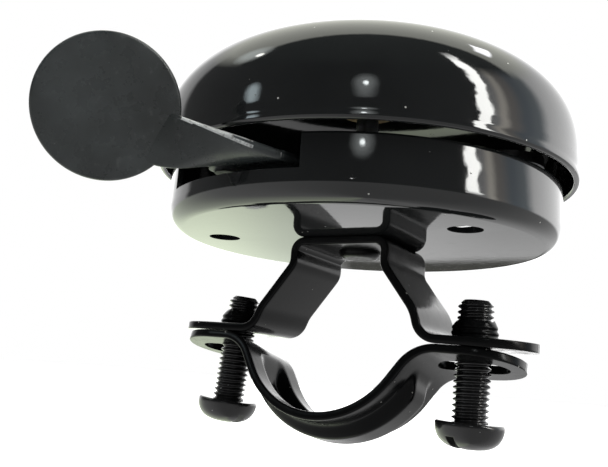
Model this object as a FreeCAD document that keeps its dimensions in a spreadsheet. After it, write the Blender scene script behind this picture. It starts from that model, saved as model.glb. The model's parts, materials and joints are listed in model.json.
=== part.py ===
import FreeCAD, Part
import math
import os
import re

import Sketcher

# Bicycle bell with a thumb lever, a rotary striker under the dome and a two-piece handlebar clamp.
# Millimetres. The origin is the centre of the handlebar, +Z points up to the dome, +X to the right
# clamp screw and +Y along the handlebar. The thumb lever sits on the -Y side.

doc = FreeCAD.newDocument("bicycle_bell")

# ------------------------------------------------------------------ driving dimensions

DIMENSIONS = {
    # handlebar clamp
    "bar_radius": 11.1,
    "strip_thickness": 1.2,
    "strip_width": 15.0,
    "plate_top": 14.2,          # top of the bracket, where the cup sits
    "leg_outside": 8.0,         # outer face of each bracket leg
    "bend_radius": 1.0,         # inside radius of the sharp bends
    "parting_height": -0.5,     # plane where the two clamp halves meet
    "parting_gap": 0.05,
    "bead_run_out": 1.0,        # angle by which the bead's channel passes each end of the band
    "flange_reach": 8.1,        # from the screw axis to the rounded end
    "band_angle": 52.0,         # half the angle that the strap hugs
    "strap_bend": 2.5,          # radius of the bend into each flange, to the middle of the sheet
    "foot_bend": 2.2,           # inside radius of the bend at each bracket foot
    "bead_width": 5.0,
    "bead_depth": 1.0,
    "slot_length": 9.2,
    "slot_width": 5.6,
    "strap_shortfall": 0.8,     # the strap ends this much short of the bracket
    # clamp screws
    "screw_offset": 18.3,
    "screw_radius": 2.5,
    "screw_length": 16.0,
    "screw_tip": 5.2,           # height of the screws' ends
    "head_radius": 4.75,
    "head_height": 3.3,
    "driver_slot_width": 1.2,
    "driver_slot_depth": 1.5,
    "collar_radius": 3.6,
    "collar_height": 2.0,
    "thread_clearance": 0.05,
    # base cup
    "cup_radius": 29.7,
    "cup_wall": 0.8,
    "cup_height": 8.5,
    "cup_corner": 2.6,
    "window_depth": 4.6,
    "window_start": 234.0,      # bearings from +X, counter-clockwise seen from above
    "window_end": 280.5,
    "cup_hole_radius": 2.4,
    "cup_hole_across": 19.5,
    "cup_hole_back": 8.8,
    # dome
    "dome_radius": 31.6,
    "dome_wall": 0.9,
    "dome_top": 43.0,
    "crown_radius": 110.0,
    "shoulder_radius": 9.0,
    "lip_height": 23.5,
    "lip_radius": 31.9,
    "lip_flare_height": 1.4,
    "bush_radius": 4.5,
    "bush_length": 6.5,
    # centre post and rotor
    "post_radius": 1.75,
    "post_fit": 0.03,
    "post_collar_radius": 3.2,
    "post_collar_height": 0.5,
    "post_engagement": 5.0,     # length of the post inside the dome bush
    "thrust_thickness": 0.4,
    "clip_thickness": 0.5,
    "rotor_pinion_face": 1.8,
    "rivet_head_radius": 3.2,
    "rivet_head_height": 1.0,
    "running_clearance": 0.05,
    "hub_radius": 2.75,
    "arm_height": 25.6,         # underside of the striker arm
    "arm_width": 8.0,
    "plate_thickness": 1.2,     # arm, wheel and lever are cut from this sheet
    "arm_bearing": 20.0,
    "striker_offset": 22.5,
    "striker_pin_radius": 1.2,
    "pin_foot_lip": 0.8,        # how far each pin's lower and upper head pass its shank
    "pin_head_lip": 1.2,
    "pin_head_height": 0.6,
    "striker_radius": 5.5,
    "striker_thickness": 1.5,
    "striker_travel": 1.5,
    "lug_inner_radius": 28.6,
    "lug_width": 4.0,
    "lug_bearing": 80.0,
    "lug_height": 3.4,
    # gear train
    "rotor_module": 0.8,
    "rotor_teeth": 9,
    "wheel_teeth": 27,
    "sector_module": 0.7,
    "pinion_teeth": 8,
    "sector_full_teeth": 44,
    "sector_teeth": 6,
    "pressure_angle": 28.0,
    "tooth_thinning": 0.12,
    "idler_bearing": 202.5,     # bearing of the idler from the centre post
    "mesh_bearing": 147.0,      # bearing of the idler from the lever pivot
    "wheel_height": 16.2,
    "idler_pin_radius": 1.2,
    "idler_shoulder_radius": 2.2,
    "idler_clip_radius": 2.3,
    "spigot_radius": 1.9,       # the pinion's end that is riveted in the wheel
    # thumb lever
    "lever_height": 19.2,       # underside of the lever plate
    "pivot_radius": 2.0,
    "lever_hub_radius": 4.6,
    "spacer_radius": 2.8,
    "lever_washer_radius": 3.6,
    "washer_thickness": 0.5,
    "neck_near_x": 3.0,         # the neck where it leaves the cup
    "neck_near_y": -29.5,
    "neck_far_x": -6.0,
    "neck_far_y": -28.8,
    "pad_radius": 8.8,
    "pad_x": -13.85,
    "pad_y": -42.2,
    "pad_z": 23.3,
    "pad_bearing": -37.0,       # bearing of the pad's face
    "pad_tilt": -18.6,          # elevation of the pad's face
    "neck_top_angle": 7.0,      # where the neck meets the pad's rim, from the pad's own horizontal
    "neck_bottom_angle": -40.0,
    # return spring
    "wire_radius": 0.35,
    "spring_radius": 3.65,      # to the middle of the wire
    "spring_turns": 3.25,
    "small_post_radius": 1.0,   # spring anchor and lever stop
    "anchor_reach": 6.5,        # from the lever pivot to the anchor post, along -Y
    "anchor_height": 3.0,
    "spring_leg_reach": 6.3,    # each of the upper leg's two stretches
    "hook_bearing": 252.0,
    "stop_across": 2.57,        # from the neck's near corner to the stop post
    "stop_back": 5.5,
}

sheet = doc.addObject("Spreadsheet::Sheet", "size")
for row, (alias, number) in enumerate(DIMENSIONS.items(), start=1):
    sheet.set(f"A{row}", alias.replace("_", " "))
    sheet.set(f"B{row}", str(number))
    sheet.setAlias(f"B{row}", alias)
doc.recompute()


def bind(expression):
    """The expression with every dimension named through the sheet."""
    return re.sub(r"\b(" + "|".join(DIMENSIONS) + r")\b", r"size.\1", str(expression))


def value(expression):
    """The number that an expression has now."""
    return float(sheet.evalExpression(str(expression)))


# Derived heights and places, as expressions of the driving dimensions.
FLOOR = "(plate_top + cup_wall)"
RIM = "(plate_top + cup_height)"
COLLAR_TOP = f"({FLOOR} + post_collar_height)"
THRUST_TOP = f"({COLLAR_TOP} + thrust_thickness)"
ROTOR_PINION_BASE = f"({THRUST_TOP} + running_clearance)"
ROTOR_PINION_TOP = f"({ROTOR_PINION_BASE} + rotor_pinion_face)"
WHEEL_TOP = "(wheel_height + plate_thickness)"
ARM_TOP = "(arm_height + plate_thickness)"
LEVER_TOP = "(lever_height + plate_thickness)"
WHEEL_DISTANCE = "(rotor_module * (rotor_teeth + wheel_teeth) / 2)"
SECTOR_DISTANCE = "(sector_module * (pinion_teeth + sector_full_teeth) / 2)"
IDLER_X = f"({WHEEL_DISTANCE} * cos(idler_bearing))"
IDLER_Y = f"({WHEEL_DISTANCE} * sin(idler_bearing))"
PIVOT_X = f"({IDLER_X} - {SECTOR_DISTANCE} * cos(mesh_bearing))"
PIVOT_Y = f"({IDLER_Y} - {SECTOR_DISTANCE} * sin(mesh_bearing))"
BUSH_TOP = "(dome_top - dome_wall - 0.1)"
BUSH_BASE = f"({BUSH_TOP} - bush_length)"
POST_TOP = f"({BUSH_BASE} + post_engagement)"
ANCHOR_X = f"({PIVOT_X} + spring_radius + wire_radius + small_post_radius + running_clearance)"
THROUGH = "(8 * strip_thickness)"       # a cut of this length passes through any sheet

parts = {}


# ------------------------------------------------------------------ modelling helpers

def new_body(name, x="0", y="0", turn="0"):
    """A named body, placed at (x, y) and turned about the vertical."""
    body = doc.addObject("PartDesign::Body", name)
    body.Label = name
    body.Placement = FreeCAD.Placement(FreeCAD.Vector(), FreeCAD.Rotation(FreeCAD.Vector(0, 0, 1), 1))
    body.setExpression("Placement.Base.x", bind(x))
    body.setExpression("Placement.Base.y", bind(y))
    body.setExpression("Placement.Rotation.Angle", bind(turn))
    parts[name] = body
    return body


def plane_sketch(body, plane):
    """A sketch on one of the body's origin planes."""
    origin_plane = next(f for f in body.Origin.OriginFeatures if f.Role == plane)
    sketch = body.newObject("Sketcher::SketchObject", body.Name + "_sketch")
    sketch.AttachmentSupport = [(origin_plane, "")]
    sketch.MapMode = "FlatFace"
    return sketch


def new_sketch(body, plane, height="0"):
    """A sketch parallel to an origin plane, lifted along the plane's normal."""
    sketch = plane_sketch(body, plane)
    sketch.setExpression("AttachmentOffset.Base.z", bind(height))
    return sketch


def free_sketch(body, corner, across, upward):
    """A sketch with its origin at a point and its two axes along given directions."""
    sketch = plane_sketch(body, "XY_Plane")
    turn = FreeCAD.Rotation(across, upward, across.cross(upward), "ZXY")
    sketch.AttachmentOffset = FreeCAD.Placement(corner, turn)
    return sketch


def arc_between(start, end, radius):
    """The short arc from start to end: it bends left for a positive radius, right for a negative."""
    chord = end - start
    middle = (start + end) * 0.5
    left = FreeCAD.Vector(-chord.y, chord.x, 0).normalize()
    reach = math.sqrt(max(radius ** 2 - (chord.Length / 2) ** 2, 0))
    centre = middle + left * math.copysign(reach, radius)
    first, last = (start, end) if radius > 0 else (end, start)
    a0 = math.atan2(first.y - centre.y, first.x - centre.x)
    a1 = math.atan2(last.y - centre.y, last.x - centre.x)
    circle = Part.Circle(centre, FreeCAD.Vector(0, 0, 1), abs(radius))
    return Part.ArcOfCircle(circle, a0, a1 + (2 * math.pi if a1 < a0 else 0))


def outline(sketch, corners):
    """A closed, fully constrained outline. Each corner is (x, y), or (x, y, radius) when an arc of
    that radius leads from the corner before it: positive bends left, negative bends right."""
    points = [FreeCAD.Vector(value(c[0]), value(c[1]), 0) for c in corners]
    starts = []
    ends = []
    for i, corner in enumerate(corners):
        before = points[i - 1]
        if len(corner) == 2:
            shape = sketch.addGeometry(Part.LineSegment(before, points[i]))
            starts.append((shape, 1))
            ends.append((shape, 2))
            continue
        radius = value(corner[2])
        shape = sketch.addGeometry(arc_between(before, points[i], radius))
        order = (1, 2) if radius > 0 else (2, 1)
        starts.append((shape, order[0]))
        ends.append((shape, order[1]))
        index = sketch.addConstraint(Sketcher.Constraint("Radius", shape, abs(radius)))
        sketch.setExpression(f"Constraints[{index}]", bind(f"abs({corner[2]})"))
    for i, corner in enumerate(corners):
        following = starts[(i + 1) % len(corners)]
        sketch.addConstraint(Sketcher.Constraint("Coincident", *ends[i], *following))
        place(sketch, ends[i], corner[0], corner[1])
    return sketch


def place(sketch, point, x, y):
    """Hold a point of the sketch at (x, y) from its origin."""
    for kind, expression in (("DistanceX", x), ("DistanceY", y)):
        index = sketch.addConstraint(Sketcher.Constraint(kind, -1, 1, *point, value(expression)))
        sketch.setExpression(f"Constraints[{index}]", bind(expression))


def circle(sketch, radius, x="0", y="0"):
    """A circle of a given radius about (x, y)."""
    centre = FreeCAD.Vector(value(x), value(y), 0)
    shape = sketch.addGeometry(Part.Circle(centre, FreeCAD.Vector(0, 0, 1), value(radius)))
    index = sketch.addConstraint(Sketcher.Constraint("Radius", shape, value(radius)))
    sketch.setExpression(f"Constraints[{index}]", bind(radius))
    place(sketch, (shape, 3), x, y)
    return sketch


def pad(body, sketch, length, symmetric=False):
    """Solid material from the sketch along its normal."""
    feature = body.newObject("PartDesign::Pad", body.Name + "_pad")
    feature.Profile = sketch
    feature.setExpression("Length", bind(length))
    feature.SideType = "Symmetric" if symmetric else "One side"
    doc.recompute()
    return feature


def cut(body, sketch, length, backwards=False, symmetric=False):
    """Material taken away from the sketch along its normal; it must remove something."""
    doc.recompute()
    before = body.Shape.Volume
    feature = body.newObject("PartDesign::Pocket", body.Name + "_cut")
    feature.Profile = sketch
    feature.setExpression("Length", bind(length))
    feature.SideType = "Symmetric" if symmetric else "One side"
    feature.Reversed = backwards
    doc.recompute()
    if body.Shape.Volume > before - 1e-6:
        raise RuntimeError(f"{feature.Label} of {body.Label} removes nothing")
    return feature


def revolve(body, corners):
    """A solid of revolution about the vertical from an (r, z) outline."""
    sketch = outline(new_sketch(body, "XZ_Plane"), corners)
    feature = body.newObject("PartDesign::Revolution", body.Name + "_turned")
    feature.Profile = sketch
    feature.ReferenceAxis = (sketch, ["V_Axis"])
    feature.Angle = 360
    doc.recompute()
    return feature


def ring(body, inner, outer, base, top):
    """A plain washer or tube."""
    return revolve(body, [(inner, base), (outer, base), (outer, top), (inner, top)])


def pattern(body, feature, span, count):
    """The feature repeated about the vertical, evenly over the span."""
    polar = body.newObject("PartDesign::PolarPattern", body.Name + "_pattern")
    polar.Originals = [feature]
    polar.Axis = (next(f for f in body.Origin.OriginFeatures if f.Role == "Z_Axis"), [""])
    polar.setExpression("Angle", bind(span))
    polar.setExpression("Occurrences", bind(count))
    body.Tip = polar
    doc.recompute()
    return polar


def mirror(body, features):
    """The features repeated on the other side of the YZ plane."""
    copy = body.newObject("PartDesign::Mirrored", body.Name + "_mirror")
    copy.Originals = features
    copy.MirrorPlane = (next(f for f in body.Origin.OriginFeatures if f.Role == "YZ_Plane"), [""])
    body.Tip = copy
    doc.recompute()
    return copy


def bearing_vector(angle, length=1.0):
    """A horizontal vector with a bearing in degrees from +X."""
    return FreeCAD.Vector(length * math.cos(math.radians(angle)), length * math.sin(math.radians(angle)), 0)


# ------------------------------------------------------------------ gear teeth

def tooth_outline(module, teeth, bearing=0.0):
    """One involute tooth about a bearing: root line, flank arcs through three involute points, and
    a flat tip. The thinning leaves the running backlash."""
    pressure = math.radians(value("pressure_angle"))
    pitch = module * teeth / 2
    base = pitch * math.cos(pressure)
    tip = pitch + 0.8 * module
    root = pitch - module
    half_angle = (math.pi * module / 2 - value("tooth_thinning")) / (2 * pitch)

    def flank(radius, side):
        roll = math.acos(min(base / radius, 1.0))
        lead = math.tan(pressure) - pressure - (math.tan(roll) - roll)
        angle = math.radians(bearing) + side * (half_angle + lead)
        return FreeCAD.Vector(radius * math.cos(angle), radius * math.sin(angle), 0)

    low = max(base, root)
    middle = (low + tip) / 2
    sides = []
    for side in (-1, 1):
        foot = flank(low, side)
        buried = foot * ((root - 0.3 * module) / foot.Length)
        sides.append((buried, foot, flank(middle, side), flank(tip, side)))
    right, left = sides
    edges = [Part.LineSegment(right[0], right[1])]
    edges.append(Part.Arc(right[1], right[2], right[3]))
    edges.append(Part.LineSegment(right[3], left[3]))
    edges.append(Part.Arc(left[3], left[2], left[1]))
    edges.append(Part.LineSegment(left[1], left[0]))
    edges.append(Part.LineSegment(left[0], right[0]))
    return edges


def tooth(body, module, teeth, base, thickness, bearing=0.0):
    """One tooth as a pad, to be repeated."""
    sketch = new_sketch(body, "XY_Plane", base)
    sketch.addGeometry(tooth_outline(value(module), teeth, bearing))
    return pad(body, sketch, thickness)


def root_radius(module, teeth):
    return f"({module} * ({teeth} / 2 - 1))"


# ------------------------------------------------------------------ handlebar clamp

def half_strip(body, spine_points, profile_corners):
    """One half of a bent strip: a cross-section at the middle plane swept along a spine in the XZ
    plane, made of lines and arcs given as outline corners."""
    spine = new_sketch(body, "XZ_Plane")
    points = [FreeCAD.Vector(value(c[0]), value(c[1]), 0) for c in spine_points]
    previous_end = None
    for i in range(1, len(spine_points)):
        corner = spine_points[i]
        if len(corner) == 2:
            shape = spine.addGeometry(Part.LineSegment(points[i - 1], points[i]))
            order = (1, 2)
        else:
            radius = value(corner[2])
            shape = spine.addGeometry(arc_between(points[i - 1], points[i], radius))
            order = (1, 2) if radius > 0 else (2, 1)
        if previous_end is None:
            place(spine, (shape, order[0]), spine_points[0][0], spine_points[0][1])
        else:
            spine.addConstraint(Sketcher.Constraint("Coincident", *previous_end, shape, order[0]))
        if len(corner) == 3:
            index = spine.addConstraint(Sketcher.Constraint("Radius", shape, abs(radius)))
            spine.setExpression(f"Constraints[{index}]", bind(f"abs({corner[2]})"))
        place(spine, (shape, order[1]), corner[0], corner[1])
        previous_end = (shape, order[1])
    section = outline(new_sketch(body, "YZ_Plane"), profile_corners)
    doc.recompute()
    pipe = body.newObject("PartDesign::AdditivePipe", body.Name + "_strip")
    pipe.Profile = section
    pipe.Spine = spine
    pipe.Mode = "Standard"
    pipe.Transition = "Transformed"
    doc.recompute()
    return pipe


def rounded_flange(body, base):
    """Trim the strip's end to a rounded one, seen from above."""
    end = "(screw_offset + flange_reach)"
    corner = "(strip_width / 2 - 0.4)"
    radius = f"({corner} * 1.05)"
    start = f"({end} - {corner})"
    far = f"({end} + 2)"
    wide = "(strip_width / 2 + 1)"
    sketch = new_sketch(body, "XY_Plane", base)
    outline(sketch, [
        (far, f"-{wide}"),
        (far, wide),
        (start, wide),
        (start, corner),
        (end, "0", f"-{radius}"),
        (start, f"-{corner}", f"-{radius}"),
        (start, f"-{wide}"),
    ])
    return cut(body, sketch, THROUGH, symmetric=True)


def build_upper_bracket():
    """Bent strip under the cup: flat plate, two legs that hug the bar, two flanges with extruded
    and threaded collars."""
    body = new_body("upper_bracket")
    half = "(strip_thickness / 2)"
    plate = f"(plate_top - {half})"
    bend = f"(bend_radius + {half})"
    leg = f"(leg_outside - {half})"
    hug = f"(bar_radius + {half})"
    hug_top = f"sqrt({hug} ^ 2 - {leg} ^ 2)"
    flange = f"(parting_height + {half})"
    foot_radius = f"(foot_bend + {half})"
    foot_height = f"({flange} + {foot_radius})"
    # The foot bend leaves the hugging arc where both share one radial line.
    foot_centre = f"sqrt(({hug} + {foot_radius}) ^ 2 - {foot_height} ^ 2)"
    share = f"({hug} / ({hug} + {foot_radius}))"
    pipe = half_strip(
        body,
        [
            ("0", plate),
            (f"({leg} - {bend})", plate),
            (leg, f"({plate} - {bend})", f"-{bend}"),
            (leg, hug_top),
            (f"({foot_centre} * {share})", f"({foot_height} * {share})", f"-{hug}"),
            (foot_centre, flange, foot_radius),
            ("(screw_offset + flange_reach)", flange),
        ],
        [
            ("-strip_width / 2", f"({plate} - {half})"),
            ("strip_width / 2", f"({plate} - {half})"),
            ("strip_width / 2", f"({plate} + {half})"),
            ("-strip_width / 2", f"({plate} + {half})"),
        ],
    )
    trim = rounded_flange(body, flange)
    collar = pad(
        body,
        circle(new_sketch(body, "XY_Plane", flange), "collar_radius", "screw_offset"),
        f"({half} + collar_height)",
    )
    collar.TaperAngle = -4
    hole = cut(
        body,
        circle(new_sketch(body, "XY_Plane", flange), "(screw_radius + thread_clearance)", "screw_offset"),
        THROUGH,
        symmetric=True,
    )
    mirror(body, [pipe, trim, collar, hole])
    rivet_hole = circle(new_sketch(body, "XY_Plane", plate), "(post_radius + post_fit)")
    cut(body, rivet_hole, THROUGH, symmetric=True)


def build_lower_strap():
    """Curved band under the bar with a pressed bead along its middle and slotted flanges."""
    body = new_body("lower_strap")
    half = "(strip_thickness / 2)"
    hug = f"(bar_radius + {half})"
    flange = f"(parting_height - parting_gap - {half})"
    leave_x = f"({hug} * sin(band_angle))"
    leave_z = f"(-{hug} * cos(band_angle))"
    # A straight stretch leaves the arc along its tangent and a bend turns it level at the flange.
    bend_drop = "(strap_bend * (1 - cos(band_angle)))"
    bend_run = "(strap_bend * sin(band_angle))"
    rise = f"({flange} - {bend_drop} - {leave_z})"
    straight_x = f"({leave_x} + {rise} / tan(band_angle))"
    straight_z = f"({flange} - {bend_drop})"
    band = [
        ("0", f"-{hug}"),
        (leave_x, leave_z, hug),
    ]
    pipe = half_strip(
        body,
        band + [
            (straight_x, straight_z),
            (f"({straight_x} + {bend_run})", flange, "-strap_bend"),
            ("(screw_offset + flange_reach - strap_shortfall)", flange),
        ],
        [
            ("-strip_width / 2", f"(-{hug} - {half})"),
            ("strip_width / 2", f"(-{hug} - {half})"),
            ("strip_width / 2", f"(-{hug} + {half})"),
            ("-strip_width / 2", f"(-{hug} + {half})"),
        ],
    )
    trim = rounded_flange(body, flange)
    slot = new_sketch(body, "XY_Plane", flange)
    reach = "(slot_length / 2 - slot_width / 2)"
    right = f"(screw_offset + {reach})"
    left = f"(screw_offset - {reach})"
    side = "(slot_width / 2)"
    round_end = f"({side} * 1.0001)"
    outline(slot, [
        (left, f"-{side}", round_end),
        (right, f"-{side}"),
        (right, side, round_end),
        (left, side),
    ])
    opening = cut(body, slot, THROUGH, symmetric=True)
    # The bead: a rib outside the band and a channel inside it.
    rib = half_strip(
        body,
        band,
        [
            ("-bead_width / 2 - bead_depth", f"(-{hug} - {half} + 0.2)"),
            ("-bead_width / 2", f"(-{hug} - {half} - bead_depth)"),
            ("bead_width / 2", f"(-{hug} - {half} - bead_depth)"),
            ("bead_width / 2 + bead_depth", f"(-{hug} - {half} + 0.2)"),
        ],
    )
    mirror(body, [pipe, trim, opening, rib])
    channel = outline(new_sketch(body, "YZ_Plane"), [
        ("-bead_width / 2 + 0.6", f"(-{hug} + {half} - bead_depth)"),
        ("bead_width / 2 - 0.6", f"(-{hug} + {half} - bead_depth)"),
        ("bead_width / 2", f"(-{hug} + {half} + 0.2)"),
        ("-bead_width / 2", f"(-{hug} + {half} + 0.2)"),
    ])
    groove = body.newObject("PartDesign::Groove", "lower_strap_channel")
    groove.Profile = channel
    groove.ReferenceAxis = (channel, ["H_Axis"])
    groove.setExpression("Angle", bind("2 * (band_angle + bead_run_out)"))
    groove.Midplane = True
    before = body.Shape.Volume
    doc.recompute()
    if body.Shape.Volume > before - 1:
        raise RuntimeError("the strap's channel removes nothing")


def build_clamp_screw(name, side):
    """Pan head screw, head down, with a straight driver slot."""
    body = new_body(name, f"{side} * screw_offset")
    under = "(screw_tip - screw_length)"
    bottom = f"({under} - head_height)"
    revolve(body, [
        ("0", bottom),
        ("head_radius * 0.55", bottom),
        ("head_radius", f"({under} - head_height * 0.45)", "head_radius * 0.62"),
        ("head_radius", under),
        ("screw_radius", under),
        ("screw_radius", "screw_tip - 0.5"),
        ("screw_radius - 0.5", "screw_tip"),
        ("0", "screw_tip"),
    ])
    slot = new_sketch(body, "XY_Plane", bottom)
    outline(slot, [
        ("-head_radius - 1", "-driver_slot_width / 2"),
        ("head_radius + 1", "-driver_slot_width / 2"),
        ("head_radius + 1", "driver_slot_width / 2"),
        ("-head_radius - 1", "driver_slot_width / 2"),
    ])
    cut(body, slot, "driver_slot_depth", backwards=True)


# ------------------------------------------------------------------ casing

def build_base_cup():
    """Pressed cup: floor, rounded corner and wall, with the lever's window and two holes."""
    body = new_body("base_cup")
    inside = "(cup_radius - cup_wall)"
    inner_corner = "(cup_corner - cup_wall)"
    revolve(body, [
        ("post_radius + post_fit", "plate_top"),
        ("cup_radius - cup_corner", "plate_top"),
        ("cup_radius", "plate_top + cup_corner", "cup_corner"),
        ("cup_radius", RIM),
        (inside, RIM),
        (inside, f"({FLOOR} + {inner_corner})"),
        (f"({inside} - {inner_corner})", FLOOR, f"-{inner_corner}"),
        ("post_radius + post_fit", FLOOR),
    ])
    window = new_sketch(body, "XY_Plane", f"({RIM} - window_depth)")
    near = "(cup_radius - 3)"
    far = "(cup_radius + 1)"
    outline(window, [
        (f"{near} * cos(window_start)", f"{near} * sin(window_start)", f"-{near}"),
        (f"{far} * cos(window_start)", f"{far} * sin(window_start)"),
        (f"{far} * cos(window_end)", f"{far} * sin(window_end)", far),
        (f"{near} * cos(window_end)", f"{near} * sin(window_end)"),
    ])
    cut(body, window, "window_depth + 1", backwards=True)
    for side in (-1, 1):
        hole = new_sketch(body, "XY_Plane", "plate_top")
        circle(hole, "cup_hole_radius", f"{side} * cup_hole_across", "-cup_hole_back")
        cut(body, hole, THROUGH, symmetric=True)


def build_dome():
    """The gong: a crown arc, a tight shoulder, a straight wall and a lip that flares outward."""
    body = new_body("dome")
    flare_top = "(lip_height + lip_flare_height)"

    def shell(radius, crown, shoulder):
        """The wall, shoulder and crown stretches of one side of the sheet."""
        crown_centre = "(dome_top - crown_radius)"
        blend_x = f"({radius} - {shoulder})"
        blend_z = f"({crown_centre} + sqrt(({crown} - {shoulder}) ^ 2 - {blend_x} ^ 2))"
        share = f"({crown} / ({crown} - {shoulder}))"
        join_x = f"({blend_x} * {share})"
        join_z = f"({crown_centre} + ({blend_z} - {crown_centre}) * {share})"
        return blend_z, join_x, join_z

    outer_blend, outer_x, outer_z = shell("dome_radius", "crown_radius", "shoulder_radius")
    inner_radius = "(dome_radius - dome_wall)"
    inner_crown = "(crown_radius - dome_wall)"
    inner_shoulder = "(shoulder_radius - dome_wall)"
    inner_blend, inner_x, inner_z = shell(inner_radius, inner_crown, inner_shoulder)
    revolve(body, [
        ("0", "dome_top - dome_wall"),
        (inner_x, inner_z, f"-{inner_crown}"),
        (inner_radius, inner_blend, f"-{inner_shoulder}"),
        (inner_radius, flare_top),
        ("lip_radius - dome_wall", "lip_height"),
        ("lip_radius", "lip_height"),
        ("dome_radius", flare_top),
        ("dome_radius", outer_blend),
        (outer_x, outer_z, "shoulder_radius"),
        ("0", "dome_top", "crown_radius"),
    ])


def build_dome_bush():
    """Threaded bush under the crown that screws onto the centre post."""
    body = new_body("dome_bush")
    bore = "(post_radius + post_fit)"
    revolve(body, [
        ("0", f"({BUSH_BASE} + post_engagement + 0.3)"),
        (bore, f"({BUSH_BASE} + post_engagement + 0.3)"),
        (bore, BUSH_BASE),
        ("bush_radius", BUSH_BASE),
        ("bush_radius", BUSH_TOP),
        ("0", BUSH_TOP),
    ])


def build_strike_lugs():
    """Two lugs on the dome's wall that the loose striker washers hit."""
    body = new_body("strike_lugs", turn="lug_bearing")
    lug = new_sketch(body, "XY_Plane", f"({ARM_TOP} - 0.6)")
    outside = "(dome_radius - dome_wall - 0.01)"
    side = "(lug_width / 2)"
    edge = f"sqrt({outside} ^ 2 - {side} ^ 2)"
    outline(lug, [
        ("lug_inner_radius", f"-{side}", f"{side} * 1.3"),
        (edge, f"-{side}"),
        (edge, side, outside),
        ("lug_inner_radius", side),
    ])
    block = pad(body, lug, "lug_height")
    pattern(body, block, "360", "2")
    body.AllowCompound = True


# ------------------------------------------------------------------ rotor

def build_centre_post():
    """Post riveted through the bracket and the cup; the rotor turns on it, the dome screws on top."""
    body = new_body("centre_post")
    foot = "(plate_top - strip_thickness)"
    groove = f"({ARM_TOP} + 0.15)"
    revolve(body, [
        ("0", f"({foot} - rivet_head_height)"),
        ("rivet_head_radius * 0.7", f"({foot} - rivet_head_height)"),
        ("rivet_head_radius", f"({foot} - 0.25)", "rivet_head_radius * 0.4"),
        ("rivet_head_radius", foot),
        ("post_radius", foot),
        ("post_radius", FLOOR),
        ("post_collar_radius", FLOOR),
        ("post_collar_radius", COLLAR_TOP),
        ("post_radius", COLLAR_TOP),
        ("post_radius", groove),
        ("post_radius - 0.4", groove),
        ("post_radius - 0.4", f"({groove} + 0.6)"),
        ("post_radius", f"({groove} + 0.6)"),
        ("post_radius", f"({POST_TOP} - 0.4)"),
        ("post_radius - 0.4", POST_TOP),
        ("0", POST_TOP),
    ])


def build_rotor():
    """Pinion with a long hub on the post, thrust washer below and clip above."""
    bore = "(post_radius + running_clearance)"
    body = new_body("rotor_pinion", turn="idler_bearing")
    root = root_radius("rotor_module", "rotor_teeth")
    revolve(body, [
        (bore, ROTOR_PINION_BASE),
        (root, ROTOR_PINION_BASE),
        (root, ROTOR_PINION_TOP),
        ("hub_radius", ROTOR_PINION_TOP),
        ("hub_radius", "arm_height"),
        ("hub_radius - 0.4", "arm_height"),
        ("hub_radius - 0.4", ARM_TOP),
        (bore, ARM_TOP),
    ])
    height = f"({ROTOR_PINION_TOP} - {ROTOR_PINION_BASE})"
    first = tooth(body, "rotor_module", DIMENSIONS["rotor_teeth"], ROTOR_PINION_BASE, height)
    pattern(body, first, "360", "rotor_teeth")

    washer = new_body("rotor_thrust_washer")
    ring(washer, bore, "post_collar_radius", COLLAR_TOP, THRUST_TOP)

    clip = new_body("rotor_clip")
    base = f"({ARM_TOP} + 0.2)"
    ring(clip, "post_radius - 0.35", "post_radius + 1.4", base, f"({base} + clip_thickness)")
    mouth = new_sketch(clip, "XY_Plane", base)
    outline(mouth, [
        ("0", "-post_radius + 0.5"),
        ("post_radius + 2", "-post_radius + 0.5"),
        ("post_radius + 2", "post_radius - 0.5"),
        ("0", "post_radius - 0.5"),
    ])
    cut(clip, mouth, "1", backwards=True)


def build_striker_arm():
    """Flat arm on the hub with a rounded end at each side."""
    body = new_body("striker_arm", turn="arm_bearing")
    end = "striker_offset"
    waist = "(arm_width / 2)"
    tip = "(arm_width / 2 - 1)"
    round_end = f"({tip} * 1.0001)"
    plan = new_sketch(body, "XY_Plane", "arm_height")
    outline(plan, [
        (f"-{end}", f"-{tip}", round_end),
        ("0", f"-{waist}"),
        (end, f"-{tip}"),
        (end, tip, round_end),
        ("0", waist),
        (f"-{end}", tip),
    ])
    pad(body, plan, "plate_thickness")
    hub_hole = circle(new_sketch(body, "XY_Plane", "arm_height"), "hub_radius - 0.38")
    cut(body, hub_hole, THROUGH, symmetric=True)
    for side in (-1, 1):
        pin_hole = new_sketch(body, "XY_Plane", "arm_height")
        circle(pin_hole, "striker_pin_radius + 0.02", f"{side} * striker_offset")
        cut(body, pin_hole, THROUGH, symmetric=True)


def build_strikers():
    """Two riveted pins and a loose washer on each."""
    pins = new_body("striker_pins", turn="arm_bearing")
    pins.AllowCompound = True
    top = f"({ARM_TOP} + striker_thickness + 0.15)"
    levels = [
        ("striker_pin_radius + pin_foot_lip", "arm_height - pin_head_height", "pin_head_height"),
        ("striker_pin_radius", "arm_height", f"({top} - arm_height)"),
        ("striker_pin_radius + pin_head_lip", top, "pin_head_height"),
    ]
    for radius, base, height in levels:
        for side in (-1, 1):
            sketch = new_sketch(pins, "XY_Plane", base)
            pad(pins, circle(sketch, radius, f"{side} * striker_offset"), height)

    for name, bearing in (("striker_washer_a", "arm_bearing"), ("striker_washer_b", "arm_bearing + 180")):
        rest = "(striker_offset - striker_travel / 2)"
        body = new_body(name, f"{rest} * cos({bearing})", f"{rest} * sin({bearing})", bearing)
        hole = "(striker_pin_radius + striker_travel / 2 + running_clearance)"
        base = f"({ARM_TOP} + 0.05)"
        ring(body, hole, "striker_radius", base, f"({base} + striker_thickness)")


# ------------------------------------------------------------------ idler

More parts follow.
